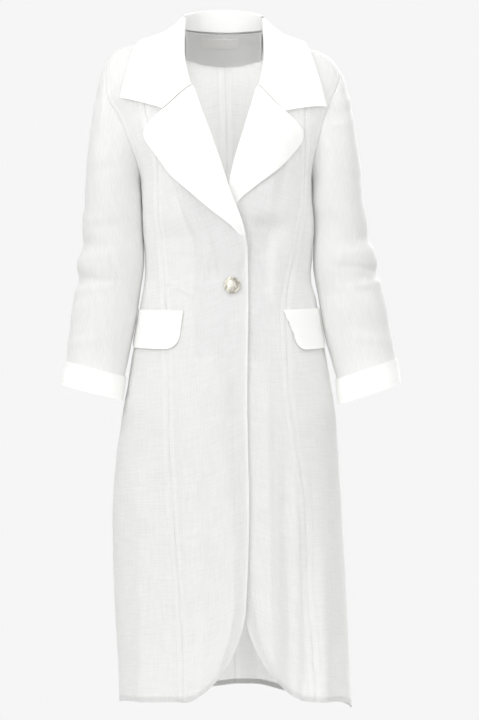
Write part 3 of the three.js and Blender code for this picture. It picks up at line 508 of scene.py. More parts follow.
def low(side, face, angle, z, off):
    """Points on the body below the chest line, moved out by off."""
    z = np.asarray(z, float)
    deep, across, _ = section(side, face, z)
    u = out_at(across, angle)
    v = deep * np.maximum(np.cos(angle), 0) ** (2 / ROUND)
    nu = power(u, ROUND - 1) / across**ROUND
    nv = v ** (ROUND - 1) / deep**ROUND
    out = (off + folds(FOLDS, face, side * u, z)) / np.hypot(nu, nv)
    return np.stack(np.broadcast_arrays(side * (u + out * nu), face * (v + out * nv), z), -1)


def ridge_y(r, face):
    """The line where front and back meet: shoulder seam, then the back neckline."""
    ridge = RIDGE_AT_NECK * (1 - smooth(NECK_SHARE, 1, r))
    if face == FRONT:
        return ridge
    inner = np.clip(r / NECK_SHARE, 0, 1)
    first, second = NECKLINE_BEND
    rounded = (1 - inner**first) ** (1 / second)
    neckline = RIDGE_AT_NECK + (NECK_BACK - RIDGE_AT_NECK) * rounded
    return np.where(r < NECK_SHARE, neckline, ridge)


def high_plain(side, r, turn, face):
    up = np.sin(turn)
    outer = CHEST + (shoulder_z(side, 1) - CHEST) * up
    deep, across, _ = section(side, face, CHEST)
    chest_width = half_width(side, CHEST)
    reach = face * deep * np.cos(angle_of(across, r * chest_width)) ** (2 / ROUND)
    ridge = ridge_y(np.abs(r), face)
    x = side * r * half_width(side, outer)
    y = ridge + (reach - ridge) * np.abs(np.cos(turn))
    z = CHEST + (shoulder_z(side, np.abs(r)) - CHEST) * up
    return np.stack(np.broadcast_arrays(x, y, z), -1)


def high(side, r, turn, off):
    """Points above the chest line. turn runs from 0 in front over the shoulder to pi behind."""
    r, turn = np.broadcast_arrays(np.asarray(r, float), np.asarray(turn, float))
    shape = r.shape
    r, turn = np.atleast_1d(r).ravel(), np.atleast_1d(turn).ravel()
    off = np.broadcast_to(off, shape).ravel()
    step = 0.004
    points = np.empty((len(r), 3))
    for face, chosen in ((FRONT, turn <= math.pi / 2), (BACK, turn > math.pi / 2)):
        if not chosen.any():
            continue
        rr, tt = r[chosen], turn[chosen]
        here = high_plain(side, rr, tt, face)
        inward = np.clip(tt + face * step, 0, math.pi)
        other = np.where(inward == tt, tt - face * step, inward)
        along_turn = high_plain(side, rr, other, face) - here
        along_turn[inward == tt] *= -1
        along_share = high_plain(side, rr + step, tt, face) - high_plain(side, rr - step, tt, face)
        normal = np.cross(along_share, along_turn) * side * face
        normal /= np.linalg.norm(normal, axis=-1, keepdims=True)
        draped = folds(FOLDS, face, here[:, 0], here[:, 2])
        draped = draped * smooth(NO_FOLDS_ABOVE, FULL_FOLDS_BELOW, here[:, 2])
        points[chosen] = here + normal * (off[chosen] + draped)[:, None]
    return points.reshape(shape + (3,))


def share_and_turn(side, u, z):
    """Share and turn of the points of the front that are u from the middle at height z."""
    r = u / half_width(side, z)
    turn = np.zeros_like(r)
    for _ in range(8):
        turn = np.arcsin(np.clip((z - CHEST) / (shoulder_z(side, r) - CHEST), 0, 1))
        r = u / half_width(side, CHEST + (shoulder_z(side, 1) - CHEST) * np.sin(turn))
    return r, turn


def front_at(side, u, z, off):
    """Points of the front given by their place in the front view."""
    u, z, off = (np.asarray(a, float) for a in np.broadcast_arrays(u, z, off))
    points = np.empty(u.shape + (3,))
    below = z < CHEST
    if below.any():
        _, across, _ = section(side, FRONT, z[below])
        points[below] = low(side, FRONT, angle_of(across, u[below]), z[below], off[below])
    if (~below).any():
        r, turn = share_and_turn(side, u[~below], z[~below])
        points[~below] = high(side, r, turn, off[~below])
    return points


def front_edge(side, z):
    middle, top, width, height, bend, _ = CORNER[side]
    drop = np.clip((top - z) / height, 0, 1)
    rounded = middle - width * (1 - drop**bend) ** (1 / bend)
    return np.where(z > top, curve(FRONT_EDGE, z, COLUMN[side]), rounded)


def front_hem(side, u):
    middle, top, width, height, bend, _ = CORNER[side]
    share = np.clip((middle - u) / width, 0, 1)
    rounded = top - height * (1 - share**bend) ** (1 / bend)
    return np.where(u > middle, curve(HEM_FRONT, u, COLUMN[side]), rounded)


def front_off(side, u, z):
    """How far a front lies out from the plain body: the right one laps over the left one."""
    inner = front_edge(side, np.maximum(z, CORNER[side][5]))
    outer = curve(PRINCESS, z, COLUMN[side])
    lap = LAP[side] * smooth(*LAP_GROWS, z) * smooth(*LAP_FADES, (u - inner) / (outer - inner))
    if side == LEFT:
        return lap
    over_lapel = OVER_LAPEL * smooth(*OVER_STARTS, z) * smooth(*OVER_ENDS, z)
    return lap + over_lapel * smooth(*OVER_FADES, u)


# Grids of points and the sheets made from them


def normals_of(points, around=False):
    """The direction square to a grid of points, at each of them."""
    down = np.gradient(points, axis=0)
    if around:
        across = np.roll(points, -1, axis=1) - np.roll(points, 1, axis=1)
    else:
        across = np.gradient(points, axis=1)
    normal = np.cross(down, across)
    return normal / np.maximum(np.linalg.norm(normal, axis=-1, keepdims=True), 1e-9)


def outward(points, around=False):
    """The same, turned to point out of the garment."""
    normal = normals_of(points, around)
    i, j = points.shape[0] // 2, points.shape[1] // 2
    return normal if normal[i, j, 1] * points[i, j, 1] > 0 else -normal


def lengths(points):
    """Distance along each row and down each column of a grid, in millimetres."""
    across = np.linalg.norm(np.diff(points, axis=1), axis=-1)
    down = np.linalg.norm(np.diff(points, axis=0), axis=-1)
    u = np.concatenate([np.zeros((points.shape[0], 1)), np.cumsum(across, axis=1)], axis=1)
    v = np.concatenate([np.zeros((1, points.shape[1])), np.cumsum(down, axis=0)], axis=0)
    return u, v


def crumple(points, size, height, seed):
    """Uneven heights of crushed linen over a grid, made of lumps of about that size."""
    flat = points.reshape(-1, 3) / size + seed * 7.31
    values = [
        noise.noise(Vector(p)) + 0.5 * noise.noise(Vector(p * 2.3)) for p in flat
    ]
    return height * np.array(values).reshape(points.shape[:-1])


def placed(title, data):
    """An object of the scene with this mesh, lamp or camera."""
    made = bpy.data.objects.new(title, data)
    bpy.context.scene.collection.objects.link(made)
    return made


class Cloth:
    """Collects the layers of one piece of cloth as one mesh."""

    def __init__(self):
        self.points, self.faces, self.uv, self.doubled, self.count = [], [], [], [], 0

    def layer(self, points, normals, thickness, around=False, uv=None, doubled=0.0):
        """Adds a grid of points as a closed sheet of even thickness."""
        rows, columns = points.shape[:2]
        if uv is None:
            uv = np.stack(lengths(points), -1)
        base = self.count
        for half in (thickness / 2, -thickness / 2):
            self.points.append((points + normals * half).reshape(-1, 3))
            self.uv.append(uv.reshape(-1, 2))
            self.doubled.append(np.broadcast_to(doubled, points.shape[:2]).ravel())
        cells = columns if around else columns - 1
        i, j = np.meshgrid(np.arange(rows - 1), np.arange(cells), indexing="ij")
        k = (j + 1) % columns
        size = rows * columns
        here, below = i * columns, (i + 1) * columns
        outer = np.stack([here + j, below + j, below + k, here + k], -1)
        self.faces += [outer.reshape(-1, 4) + base, outer[..., ::-1].reshape(-1, 4) + base + size]
        j = np.arange(cells)
        k = (j + 1) % columns
        last = (rows - 1) * columns
        self.faces.append(np.stack([j, k, k + size, j + size], -1) + base)
        self.faces.append(np.stack([j + last, j + last + size, k + last + size, k + last], -1) + base)
        if not around:
            i = np.arange(rows - 1) * columns
            n = i + columns
            end = columns - 1
            self.faces.append(np.stack([i, i + size, n + size, n], -1) + base)
            self.faces.append(np.stack([i + end, n + end, n + end + size, i + end + size], -1) + base)
        self.count += 2 * size

    def made(self, title):
        """The collected layers as an object, facing out, in metres."""
        points = np.concatenate(self.points) * MM
        faces = np.concatenate(self.faces)
        a, b, c = (points[faces[:, k]] for k in (0, 1, 2))
        d = points[faces[:, 3]]
        volume = (a * np.cross(b, c)).sum() + (a * np.cross(c, d)).sum()
        if volume < 0:
            faces = faces[:, ::-1]
        mesh = bpy.data.meshes.new(title)
        mesh.from_pydata(points.tolist(), [], faces.tolist())
        uv_map = mesh.uv_layers.new(name="grain")
        corners = np.concatenate(self.uv)[faces.reshape(-1)] * MM
        uv_map.data.foreach_set("uv", corners.ravel().astype(np.float32))
        layers = mesh.attributes.new("layers", "FLOAT", "POINT")
        layers.data.foreach_set("value", np.concatenate(self.doubled).astype(np.float32))
        mesh.polygons.foreach_set("use_smooth", np.ones(len(faces), bool))
        mesh.set_sharp_from_angle(angle=math.radians(55))
        mesh.validate()
        return placed(title, mesh)


def single_layer(*args, **options):
    """A piece that is one sheet of cloth."""
    made = Cloth()
    made.layer(*args, **options)
    return made


def refine(table, count, columns):
    """A table's columns read at evenly spaced places between its first and last rows."""
    rows = [(k, *row) for k, row in enumerate(table)]
    at = np.linspace(0, len(table) - 1, count)
    return [curve(rows, at, column + 1) for column in columns]


def sampled(grid, i, j):
    """The points of a grid at fractional rows and columns."""
    i0 = np.clip(np.floor(i).astype(int), 0, grid.shape[0] - 2)
    j0 = np.clip(np.floor(j).astype(int), 0, grid.shape[1] - 2)
    a, b = (i - i0)[..., None], (j - j0)[..., None]
    near = lerp(grid[i0, j0], grid[i0, j0 + 1], b)
    return lerp(near, lerp(grid[i0 + 1, j0], grid[i0 + 1, j0 + 1], b), a)


def columns_at(points, distances, from_end=False):
    """Fractional columns at these distances along each row, from its first or its last point."""
    u, _ = lengths(points)
    if from_end:
        distances = u[:, -1:] - distances
    distances = np.broadcast_to(distances, (len(u), np.shape(distances)[-1]))
    every = np.arange(points.shape[1])
    return np.stack([np.interp(d, row, every) for d, row in zip(distances, u)])


def within(reach, distance, soft=0.7):
    """1 up to a reach and 0 past it, with a soft step."""
    return 1 - smooth(reach - soft, reach + soft, distance)


class Panel:
    """One body panel: a fine grid of points from hem to shoulder, with its outward directions."""

    def __init__(self, side, face, shares, lines, hem, off, seed):
        """lines gives the inner and outer angles below the chest, and the shares above it."""
        self.side, self.face, self.shares = side, face, shares
        inner_low, outer_low, inner_high, outer_high = lines
        fine = np.array(HEM_LINES) / (ARMPIT - HEM)
        below = np.r_[fine, np.linspace(fine[-1], 1, ROWS_BELOW)[1:]]
        rows = []

        def angles(z):
            _, across, end = section(side, face, z)
            angle = lerp(inner_low(across, end, z), outer_low(across, end, z), shares)
            return angle, out_at(across, angle)

        def low_row(z):
            angle, u = angles(z)
            return low(side, face, angle, z, off(u, z))

        rows += [low_row(lerp(hem, ARMPIT, t)) for t in below]
        for k in range(1, ROWS_ARM + 1):
            down = (CHEST - ARMPIT) * math.cos(math.pi / 2 * k / ROWS_ARM)
            rows.append(low_row(np.full(len(shares), CHEST - down)))
        self.chest_row = len(rows) - 1
        _, u = angles(np.full(len(shares), float(CHEST)))
        part = (u - u[0]) / (u[-1] - u[0])
        for k in range(1, ROWS_OVER + 1):
            lift = math.pi / 2 * k / ROWS_OVER
            r = lerp(inner_high(lift), outer_high(lift), part)
            turn = lift if face == FRONT else max(math.pi - lift, JUST_BEHIND)
            rows.append(high(side, r, turn, 0))
        points = np.stack(rows)
        normals = outward(points)
        heights = folds(CREASES, face, points[..., 0], points[..., 2])
        heights = heights + crumple(points, CRUMPLE_SIZE, CRUMPLE_HEIGHT, seed)
        self.points = points + normals * heights[..., None]
        self.normals = outward(self.points)

    def dip(self, first, last):
        """Draws the cloth in a little along the seams at its first and last columns."""
        u, _ = lengths(self.points)
        depth = np.zeros(u.shape)
        if first:
            depth += np.exp(-((u / SEAM_DIP_REACH) ** 2))
        if last:
            depth += np.exp(-(((u[:, -1:] - u) / SEAM_DIP_REACH) ** 2))
        self.points = self.points - self.normals * (SEAM_DIP * depth)[..., None]
        self.normals = outward(self.points)

    def cloth(self, first_allowance, last_allowance, faced):
        """The panel with its hem turned up inside, and its doubled parts marked."""
        fold = self.points[: HEM_ROWS + 1][::-1]
        fold_normals = self.normals[: HEM_ROWS + 1][::-1]
        inside = fold - fold_normals * HEM_GAP
        turn = self.points[:1] - self.normals[:1] * HEM_GAP / 2
        turn[..., 2] -= HEM_GAP / 2
        down = np.zeros_like(turn)
        down[..., 2] = -1
        points = np.concatenate([inside, turn, self.points])
        normals = np.concatenate([-fold_normals, down, self.normals])
        u, v = lengths(self.points)
        v_inside = np.concatenate([-v[: HEM_ROWS + 1][::-1], v[:1] * 0, v])
        u_inside = np.concatenate([u[: HEM_ROWS + 1][::-1], u[:1], u])
        doubled = within(HEM_DEEP, v, 0.6)
        if first_allowance:
            doubled = np.maximum(doubled, within(SEAM_ALLOWANCE, u))
        if last_allowance:
            doubled = np.maximum(doubled, within(SEAM_ALLOWANCE, u[:, -1:] - u))
        if faced:
            low_part = self.points[:, :1, 2] < FACING_WIDE_FROM
            reach = np.where(low_part, FACING_STRIP, FACING_WIDE)
            below = self.points[:, :1, 2] < self.points[self.chest_row, 0, 2]
            doubled = np.maximum(doubled, within(reach, u) * below)
        doubled = np.concatenate([np.ones((HEM_ROWS + 2, doubled.shape[1])), doubled])
        uv = np.stack([u_inside + GRAIN_START, v_inside], -1)
        return single_layer(points, normals, WALL, uv=uv, doubled=doubled)


def share_of(side, lift, line):
    """Share of the way to the armhole of a line given in the front view, at a lift."""
    r = 0.5
    outer = CHEST + (shoulder_z(side, 1) - CHEST) * math.sin(lift)
    for _ in range(8):
        z = CHEST + (shoulder_z(side, r) - CHEST) * math.sin(lift)
        r = line(z) / half_width(side, outer)
    return r


def no_offset(u, z):
    return 0


def make_front(side):
    def edge(z):
        return front_edge(side, np.maximum(z, CORNER[side][5])) + SEAM_GAP

    def seam(z):
        return curve(PRINCESS, z, COLUMN[side]) - SEAM_GAP / 2

    shares = np.linspace(0, 1, COLUMNS_FRONT)
    split = CORNER[side][5]
    lines = (
        lambda across, end, z: angle_of(across, edge(z)),
        lambda across, end, z: angle_of(across, seam(z)),
        lambda lift: share_of(side, lift, edge),
        lambda lift: share_of(side, lift, seam),
    )
    hem = front_hem(side, lerp(edge(split), seam(split), shares))
    panel = Panel(side, FRONT, shares, lines, hem, lambda u, z: front_off(side, u, z), 1 + side)
    panel.dip(False, True)
    return panel


def make_side(side):
    def seam(z):
        return curve(PRINCESS, z, COLUMN[side]) + SEAM_GAP / 2

    shares = np.linspace(0, 1, COLUMNS_SIDE)
    inset = SEAM_GAP / 200
    lines = (
        lambda across, end, z: angle_of(across, seam(z)),
        lambda across, end, z: end - inset,
        lambda lift: share_of(side, lift, seam),
        lambda lift: 1 - inset / 2,
    )
    hem = front_hem(side, lerp(seam(HEM), half_width(side, HEM), shares))
    panel = Panel(side, FRONT, shares, lines, hem, no_offset, 4 + side)
    panel.dip(True, True)
    return panel


def make_back(side):
    chest = section(side, BACK, CHEST)
    neck = angle_of(chest[1], NECK_SHARE * half_width(side, CHEST)) / chest[2]
    inner = np.linspace(0, neck, COLUMNS_NECK)
    shares = np.r_[inner, np.linspace(neck, 1, COLUMNS_BACK)[1:]]
    inset = SEAM_GAP / 200
    lines = (
        lambda across, end, z: angle_of(across, SEAM_GAP / 2),
        lambda across, end, z: end - inset,
        lambda lift: inset / 2,
        lambda lift: 1 - inset / 2,
    )
    hem = curve(HEM_BACK, 200 * np.sin(shares * math.pi / 2), COLUMN[side])
    panel = Panel(side, BACK, shares, lines, hem, no_offset, 7 + side)
    panel.dip(True, True)
    return panel


# Sleeves and cuffs


def armhole_loop(side, around):
    """Points round the armhole. around is 0 at the shoulder tip, 90 in front, 180 below."""
    points = np.empty((len(around), 3))
    for k, a in enumerate(around):
        if a < 90:
            points[k] = high(side, 1.0, math.radians(90 - a), 0)
        elif a > 270:
            points[k] = high(side, 1.0, math.radians(450 - a), 0)
        else:
            face = FRONT if a <= 180 else BACK
            down = math.radians(a - 90 if a <= 180 else 270 - a)
            z = CHEST - (CHEST - ARMPIT) * math.sin(down)
            points[k] = low(side, face, section(side, face, z)[2], z, 0)
    return points


def ring_points(side, ring, around, grow):
    """Points of a sleeve ring. around is 0 at the outer side, 90 in front, 180 at the body."""
    x, y, z, across, deep, tilt = ring
    c = np.cos(np.radians(around)) * (across + grow)
    s = np.sin(np.radians(around)) * (deep + grow)
    tilt = math.radians(tilt)
    return np.stack([side * (x + c * math.cos(tilt)), y - s, z + c * math.sin(tilt)], -1)


def ring_at(stations, t):
    rows = [(k / (len(stations) - 1), *station) for k, station in enumerate(stations)]
    return [float(curve(rows, t, column)) for column in range(1, 7)]


def sleeve_rings(side):
    top, bottom = CUFF[side]
    tucked = []
    for t in (0, TUCK_DOWN):
        x, y, z, across, deep, tilt = ring_at((top, bottom), t)
        tucked.append((x, y, z, across - TUCK_INSIDE, deep - TUCK_INSIDE, tilt))
    return (*SLEEVE[side], *tucked)


def from_turn(around, turn_at):
    """Degrees from a direction, from -180 to 180."""
    return (around - turn_at + 540) % 360 - 180


def sleeve_crease(down, around):
    total = np.zeros_like(around)
    for at, turn_at, tall, wide, height in SLEEVE_CREASES:
        turn = from_turn(around, turn_at)
        total = total + height * np.exp(-(((down - at) / tall) ** 2) - (turn / wide) ** 2)
    return total


def by_side(values, c):
    """A size given at the inner, front and outer sides, where c runs from -1 through 0 to 1."""
    inner, front, outer = values
    return np.where(c > 0, lerp(front, outer, c), lerp(front, inner, -c))


def make_sleeve(side):
    around = SLEEVE_ROUND
    stations = sleeve_rings(side)
    start = armhole_loop(side, around)
    end = ring_points(side, stations[0], around, 0)
    c, s = np.cos(np.radians(around)), np.sin(np.radians(around))
    leave = np.stack([side * by_side(CAP_AWAY, c), -CAP_FORWARD * s, -by_side(CAP_DOWN, c)], -1)
    gap_out, gap_up = CAP_GAP
    start = start - np.stack([side * (gap_out + 0 * c), 0 * c, gap_up * c], -1)
    arrive = np.zeros_like(start)
    arrive[:, 2] = -np.linalg.norm(end - start, axis=1) * CAP_ARRIVE
    rows = []
    for t in np.linspace(0, 1, CAP_ROWS, endpoint=False):
        rows.append(sum(w * p for w, p in zip(hermite(t), (start, leave, end, arrive))))
    for t in np.linspace(0, 1, ARM_ROWS):
        crease = sleeve_crease(lerp(CREASES_FROM, 1, t), around)
        rows.append(ring_points(side, ring_at(stations, t), around, crease))
    points = np.stack(rows)
    normals = normals_of(points, True)
    height = crumple(points, 40, 1.0, 11 + side)
    for z, turn_at, tilt, tall, wide, lift in SLEEVE_WRINKLES[side]:
        turn = from_turn(around[None], turn_at)
        along = (points[..., 2] - z - tilt * turn) / tall
        height = height + lift * np.exp(-(along**2) - (turn / wide) ** 2)
    height *= smooth(0, CAP_PLAIN, np.linspace(0, 1, len(points)))[:, None]
    beside = smooth(*BULGE_STARTS, points[..., 2]) * smooth(*BULGE_ENDS, points[..., 2])
    inner = (around[None] - 180) / BULGE_ROUND
    height = height + INNER_BULGE[side] * beside * np.exp(-(inner**2))
    points = points + normals * height[..., None] * sleeve_sign(points, normals)
    return tube(points, WALL)


def sleeve_sign(points, normals):
    """1 where the normals point out of a ring, -1 where they point in."""
    middle = points[len(points) // 2]
    out = ((middle - middle.mean(axis=0)) * normals[len(points) // 2]).sum()
    return 1 if out > 0 else -1


def tube(points, wall):
    """A ring of cloth, with its grain meeting at the inner and outer sides."""
    _, v = lengths(points)
    u = np.minimum(SLEEVE_ROUND, 360 - SLEEVE_ROUND) / 180 * SLEEVE_GRAIN
    grain = np.stack([np.broadcast_to(u, v.shape), v], -1)
    return single_layer(points, normals_of(points, True), wall, around=True, uv=grain)


def make_cuff(side):
    around = SLEEVE_ROUND
    top, bottom = CUFF[side]
    rows = []
    for t in np.linspace(0, 1, 26):
        groove = CUFF_GROOVE * math.exp(-(((t - GROOVE_AT) / GROOVE_REACH) ** 2))
        swell = CUFF_SWELL * math.sin(math.pi * t) - groove
        rows.append(ring_points(side, ring_at((top, bottom), t), around, swell))
    points = np.stack(rows)
    normals = normals_of(points, True)
    sign = sleeve_sign(points, normals)
    points = points + normals * crumple(points, 30, 0.5, 17 + side)[..., None] * sign
    return tube(points, WALL * 2)


# Lapels, collar, facings, label, flaps


def make_lapel(side):
    roll_z, edge_u, edge_z = refine(LAPEL[side], LAPEL_ROWS, (0, 1, 2))
    inboard, out = refine(ROLL, 14, (0, 1))
    t = np.linspace(0, 1, LAPEL_COLUMNS)[1:]
    rows = []
    down = np.linspace(0, 1, LAPEL_ROWS)
    ends = lerp(LAPEL_START, 1, smooth(0, 0.08, down)) - LAPEL_END * smooth(0.9, 1, down)
    for z0, u1, z1, end in zip(roll_z, edge_u, edge_z, ends):
        roll_u = front_edge(side, z0)
        tuck = end * (lerp(1, LEFT_TUCK, smooth(*TUCK_FROM, z0)) if side == LEFT else 1)
        base = front_off(side, roll_u, z0)
        rolled = front_at(side, roll_u - inboard * tuck, np.full(len(out), z0), base + out * tuck)
        u, z = lerp(roll_u + LAPEL_STEP, u1, t), lerp(z0, z1, t)
        lift = lerp(*LAPEL_LIFT, t) * tuck
        rows.append(np.concatenate([rolled, front_at(side, u, z, front_off(side, u, z) + lift)]))
    return turned_down(np.stack(rows), 21 + side)


def turned_down(points, seed):
    """A turned-down piece of two layers, a little crushed."""
    normals = outward(points)
    points = points + normals * crumple(points, 42, 0.7, seed)[..., None]
    return single_layer(points, outward(points), WALL * 2)


def collar_half(side):
    """Fine rows of one half of the collar, from its front end to the middle of the back."""
    stations = []
    for neck_u, neck_z, edge_u, edge_z, stand, upright in COLLAR[side]:
        neck = [float(a) for a in share_and_turn(side, np.float64(neck_u), neck_z)]
        edge = [float(a) for a in share_and_turn(side, np.float64(edge_u), edge_z)]
        stations.append((*neck, *edge, stand, upright, 0))
    stations.append((NECK_SHARE, math.pi / 2, COLLAR_OVER[0], math.pi / 2, COLLAR_OVER[1], 1, 0))
    for neck_share, edge_share, angle, stand in COLLAR_BEHIND:
        outset = math.radians(FALL_OUTSET) * (1 - neck_share / NECK_SHARE)
        stations.append((neck_share, JUST_BEHIND, edge_share, math.radians(angle), stand, 1, outset))
    mirrored = stations[-2]
    stations.append((-mirrored[0], mirrored[1], -mirrored[2], *mirrored[3:]))
    table = [(k, *station) for k, station in enumerate(stations)]
    last = len(stations) - 2
    at = np.linspace(0, last, COLLAR_ROWS)
    neck_r, neck_turn, edge_r, edge_turn, stand, upright, outset = (
        curve(table, at, column) for column in range(1, 8)
    )
    neck_turn = np.where(at <= len(COLLAR[side]), np.minimum(neck_turn, math.pi / 2), JUST_BEHIND)
    bend = share_and_turn(side, np.float64(NOTCH[side][0]), NOTCH[side][1])
    t = np.linspace(0, 1, COLLAR_COLUMNS)
    notch_t = 3 / 7
    rows = []
    for k in range(COLLAR_ROWS):
        start_r = neck_r[k] + FALL_OUTSIDE * smooth(0, 0.15, neck_r[k])
        start_turn = neck_turn[k] + outset[k]
        r, turn = lerp(start_r, edge_r[k], t), lerp(start_turn, edge_turn[k], t)
        first = max(0, 1 - at[k])
        to_notch, past = np.clip(t / notch_t, 0, 1), np.clip((t - notch_t) / (1 - notch_t), 0, 1)
        r = r + first * (lerp(lerp(start_r, bend[0], to_notch), edge_r[k], past) - r)
        turn = turn + first * (lerp(lerp(start_turn, bend[1], to_notch), edge_turn[k], past) - turn)
        rise = (stand[k] - 0.5) * np.exp(-3 * t) + FALL_LIFT * t
        lean = upright[k] * (1 - t)
        up_the_stand = np.linspace(0, 1, STAND_ROWS)
        inside = STAND_INSIDE * smooth(0, 0.15, neck_r[k])
        stand_r = neck_r[k] - inside * (1 + 0.5 * np.sin(up_the_stand * math.pi))
        r = np.r_[stand_r, r]
        turn = np.r_[np.full(STAND_ROWS, neck_turn[k]), turn]
        rise = np.r_[lerp(STAND_FOOT, stand[k], up_the_stand), rise]
        lean = np.r_[np.full(STAND_ROWS, upright[k]), lean]
        foot = high(side, r, turn, 0)
        direction = high(side, r, turn, 1) - foot
        direction = lerp(direction, np.array([0, 0, 1.0]), lean[:, None])
        direction /= np.linalg.norm(direction, axis=1, keepdims=True)
        rows.append(foot + direction * rise[:, None])
    return np.stack(rows)


def make_collar():
    right, left = collar_half(RIGHT), collar_half(LEFT)
    points = np.concatenate([right, left[:-1][::-1]])
    normals = normals_of(points)
    points = points + normals * crumple(points, 42, 0.6, 27)[..., None]
    return single_layer(points, normals_of(points), WALL * 2)


def make_facing(panel):
    """The strip inside a front's edge, which widens above the pocket line."""
    rows = np.arange(1, panel.chest_row)
    strip = panel.points[rows]
    wide = strip[:, :1, 2] > FACING_WIDE_FROM
    reach = np.where(wide, FACING_WIDE, FACING_STRIP)
    j = columns_at(strip, 0.8 + np.linspace(0, 1, 24) * reach)
    i = np.broadcast_to(rows[:, None], j.shape)
    points = sampled(panel.points, i, j) - sampled(panel.normals, i, j) * FACING_DEPTH
    return single_layer(points, outward(points), WALL)


def make_neck_facing(backs):
    """The facing inside the back, below the neck seam."""
    per_row = ROWS_OVER / 6
    halves = []
    rows, columns = NECK_GRID
    for side in (RIGHT, LEFT):
        points = backs[side].points
        top = len(points) - 1
        j = np.linspace(0, COLUMNS_NECK - 1, columns)
        t = j / (COLUMNS_NECK - 1)
        depth = np.linspace(*NECK_DEPTHS, rows)
        curved = np.linspace(0, 1, rows)[:, None] * NECK_RISE * t[None] ** 2
        i = top - (depth[:, None] - curved) * per_row
        jj = np.broadcast_to(j[None], i.shape)
        inner = sampled(points, i, jj) - sampled(backs[side].normals, i, jj) * NECK_FACING_DEPTH
        halves.append(inner)
    points = np.concatenate([halves[0][:, ::-1], halves[1][:, 1:]], axis=1)
    return single_layer(points, outward(points), WALL), points


def make_label(facing_points):
    """The blank label, laid over the neck facing."""
    rows = []
    columns = facing_points.shape[1]
    for depth in np.linspace(*LABEL_ROWS, LABEL_GRID[0]):
        row = sampled(facing_points, np.full(columns, depth), np.arange(float(columns)))
        x = np.linspace(LABEL_X - LABEL_WIDTH / 2, LABEL_X + LABEL_WIDTH / 2, LABEL_GRID[1])
        rows.append(np.stack([np.interp(x, row[:, 0], row[:, k]) for k in range(3)], -1))
    points = np.stack(rows)
    inward = -outward(points)
    return single_layer(points + inward * LABEL_LIFT, inward, WALL)


def make_flap(side):
    out, top, slope, deep, lean, corner_size = FLAP[side]
    t = np.linspace(0, 1, 44)[:, None]
    s = np.linspace(0, 1, 66)[None]
    z0 = top - slope * (1 - s)
    _, across, _ = section(side, FRONT, z0)
    start = angle_of(across, out + lean * t)
    angle = lerp(start, math.radians(FLAP_END), s)
    corner = np.clip(1 - np.minimum(s, 1 - s) * FLAP_HEIGHT / corner_size, 0, 1)
    lift = corner_size * (1 - np.sqrt(1 - corner**2))
    z = z0 - t * (deep - lift)
    _, across, _ = section(side, FRONT, z)
    u = out_at(across, angle)
    hang = FLAP_LIFT + FLAP_SWING * t**2 * (1 - 0.6 * s)
    points = low(side, FRONT, angle, z, front_off(side, u, z) + hang)
    return turned_down(points, 31 + side)


def make_button():
    """A turned disc with a raised rim and a shallow dish."""
    profile = (
        (0, 0),
        (BUTTON_RADIUS - 2.5, 0),
        (BUTTON_RADIUS - 0.6, BUTTON_WALL * 0.3),
        (BUTTON_RADIUS, BUTTON_WALL * 0.65),
        (BUTTON_RADIUS - 1.2, BUTTON_WALL),
        (BUTTON_RADIUS - 3, BUTTON_WALL * 0.92),
        (BUTTON_RADIUS - 5, BUTTON_WALL * 0.62),
        (0, BUTTON_WALL * 0.55),
    )
    steps = 96
    radius, height = refine(profile, 57, (0, 1))
    radius = np.maximum(radius, 0.01)
    around = np.arange(steps) * 2 * math.pi / steps
    rings = [
        np.stack([r * np.cos(around), np.full(steps, -h), r * np.sin(around)], -1)
        for r, h in zip(radius, height)
    ]
    points = np.stack(rings)
    edge_u = -BUTTON_X
    seat = front_at(RIGHT, edge_u, WAIST_BUTTON, front_off(RIGHT, edge_u, WAIST_BUTTON))
    seat = seat + np.array([0, -(WALL / 2 + BUTTON_SHANK), 0])
    return points.reshape(-1, 3) + seat, points.shape[:2]


# Materials


def node(tree, kind, settings=None, links=None):
    """Adds a node with its settings, socket values and links to its inputs."""
    made = tree.nodes.new(kind)
    for key, value in (settings or {}).items():
        if isinstance(key, str) and hasattr(made, key):
            setattr(made, key, value)
        else:
            made.inputs[key].default_value = value
    for key, source in (links or {}).items():
        tree.links.new(source, made.inputs[key])
    return made


def ranged(tree, value, **limits):
    """A value mapped onto another range."""
    settings = {key.replace("_", " ").title(): limit for key, limit in limits.items()}
    return node(tree, "ShaderNodeMapRange", settings, {"Value": value}).outputs["Result"]


def mixed(tree, share, light, dark):
    """Two fixed colours mixed by a value."""
    settings = {"data_type": "RGBA", 6: (*light, 1), 7: (*dark, 1)}
    return node(tree, "ShaderNodeMix", settings, {0: share}).outputs[2]


def start_material(name):
    made = bpy.data.materials.new(name)
    made.use_nodes = True
    made.node_tree.nodes.clear()
    return made, made.node_tree


def finish_material(tree, surface, height=None, strength=0.0, distance=0.0):
    """Joins a bump to a surface shader, and the shader to the output."""
    if height is not None:
        bump = node(
            tree,
            "ShaderNodeBump",
            {"Strength": strength, "Distance": distance},
            {"Height": height},
        )
        tree.links.new(bump.outputs["Normal"], surface.inputs["Normal"])
    node(tree, "ShaderNodeOutputMaterial", links={"Surface": surface.outputs[0]})


def slubs(tree, along, across, seed):
    """Thick places in the yarns: noise drawn out along the thread. Scales are per metre."""
    grain = node(tree, "ShaderNodeUVMap", {"uv_map": "grain"})
    drawn = node(
        tree,
        "ShaderNodeMapping",
        {"Scale": (along, across, 1), "Location": (seed, seed * 1.7, seed)},
        {"Vector": grain.outputs["UV"]},
    )
    yarn = node(
        tree,
        "ShaderNodeTexNoise",
        {"Scale": 1.0, "Detail": 3.0, "Roughness": 0.6},
        {"Vector": drawn.outputs["Vector"]},
    )
    return ranged(tree, yarn.outputs["Fac"], from_min=0.42, from_max=0.72)


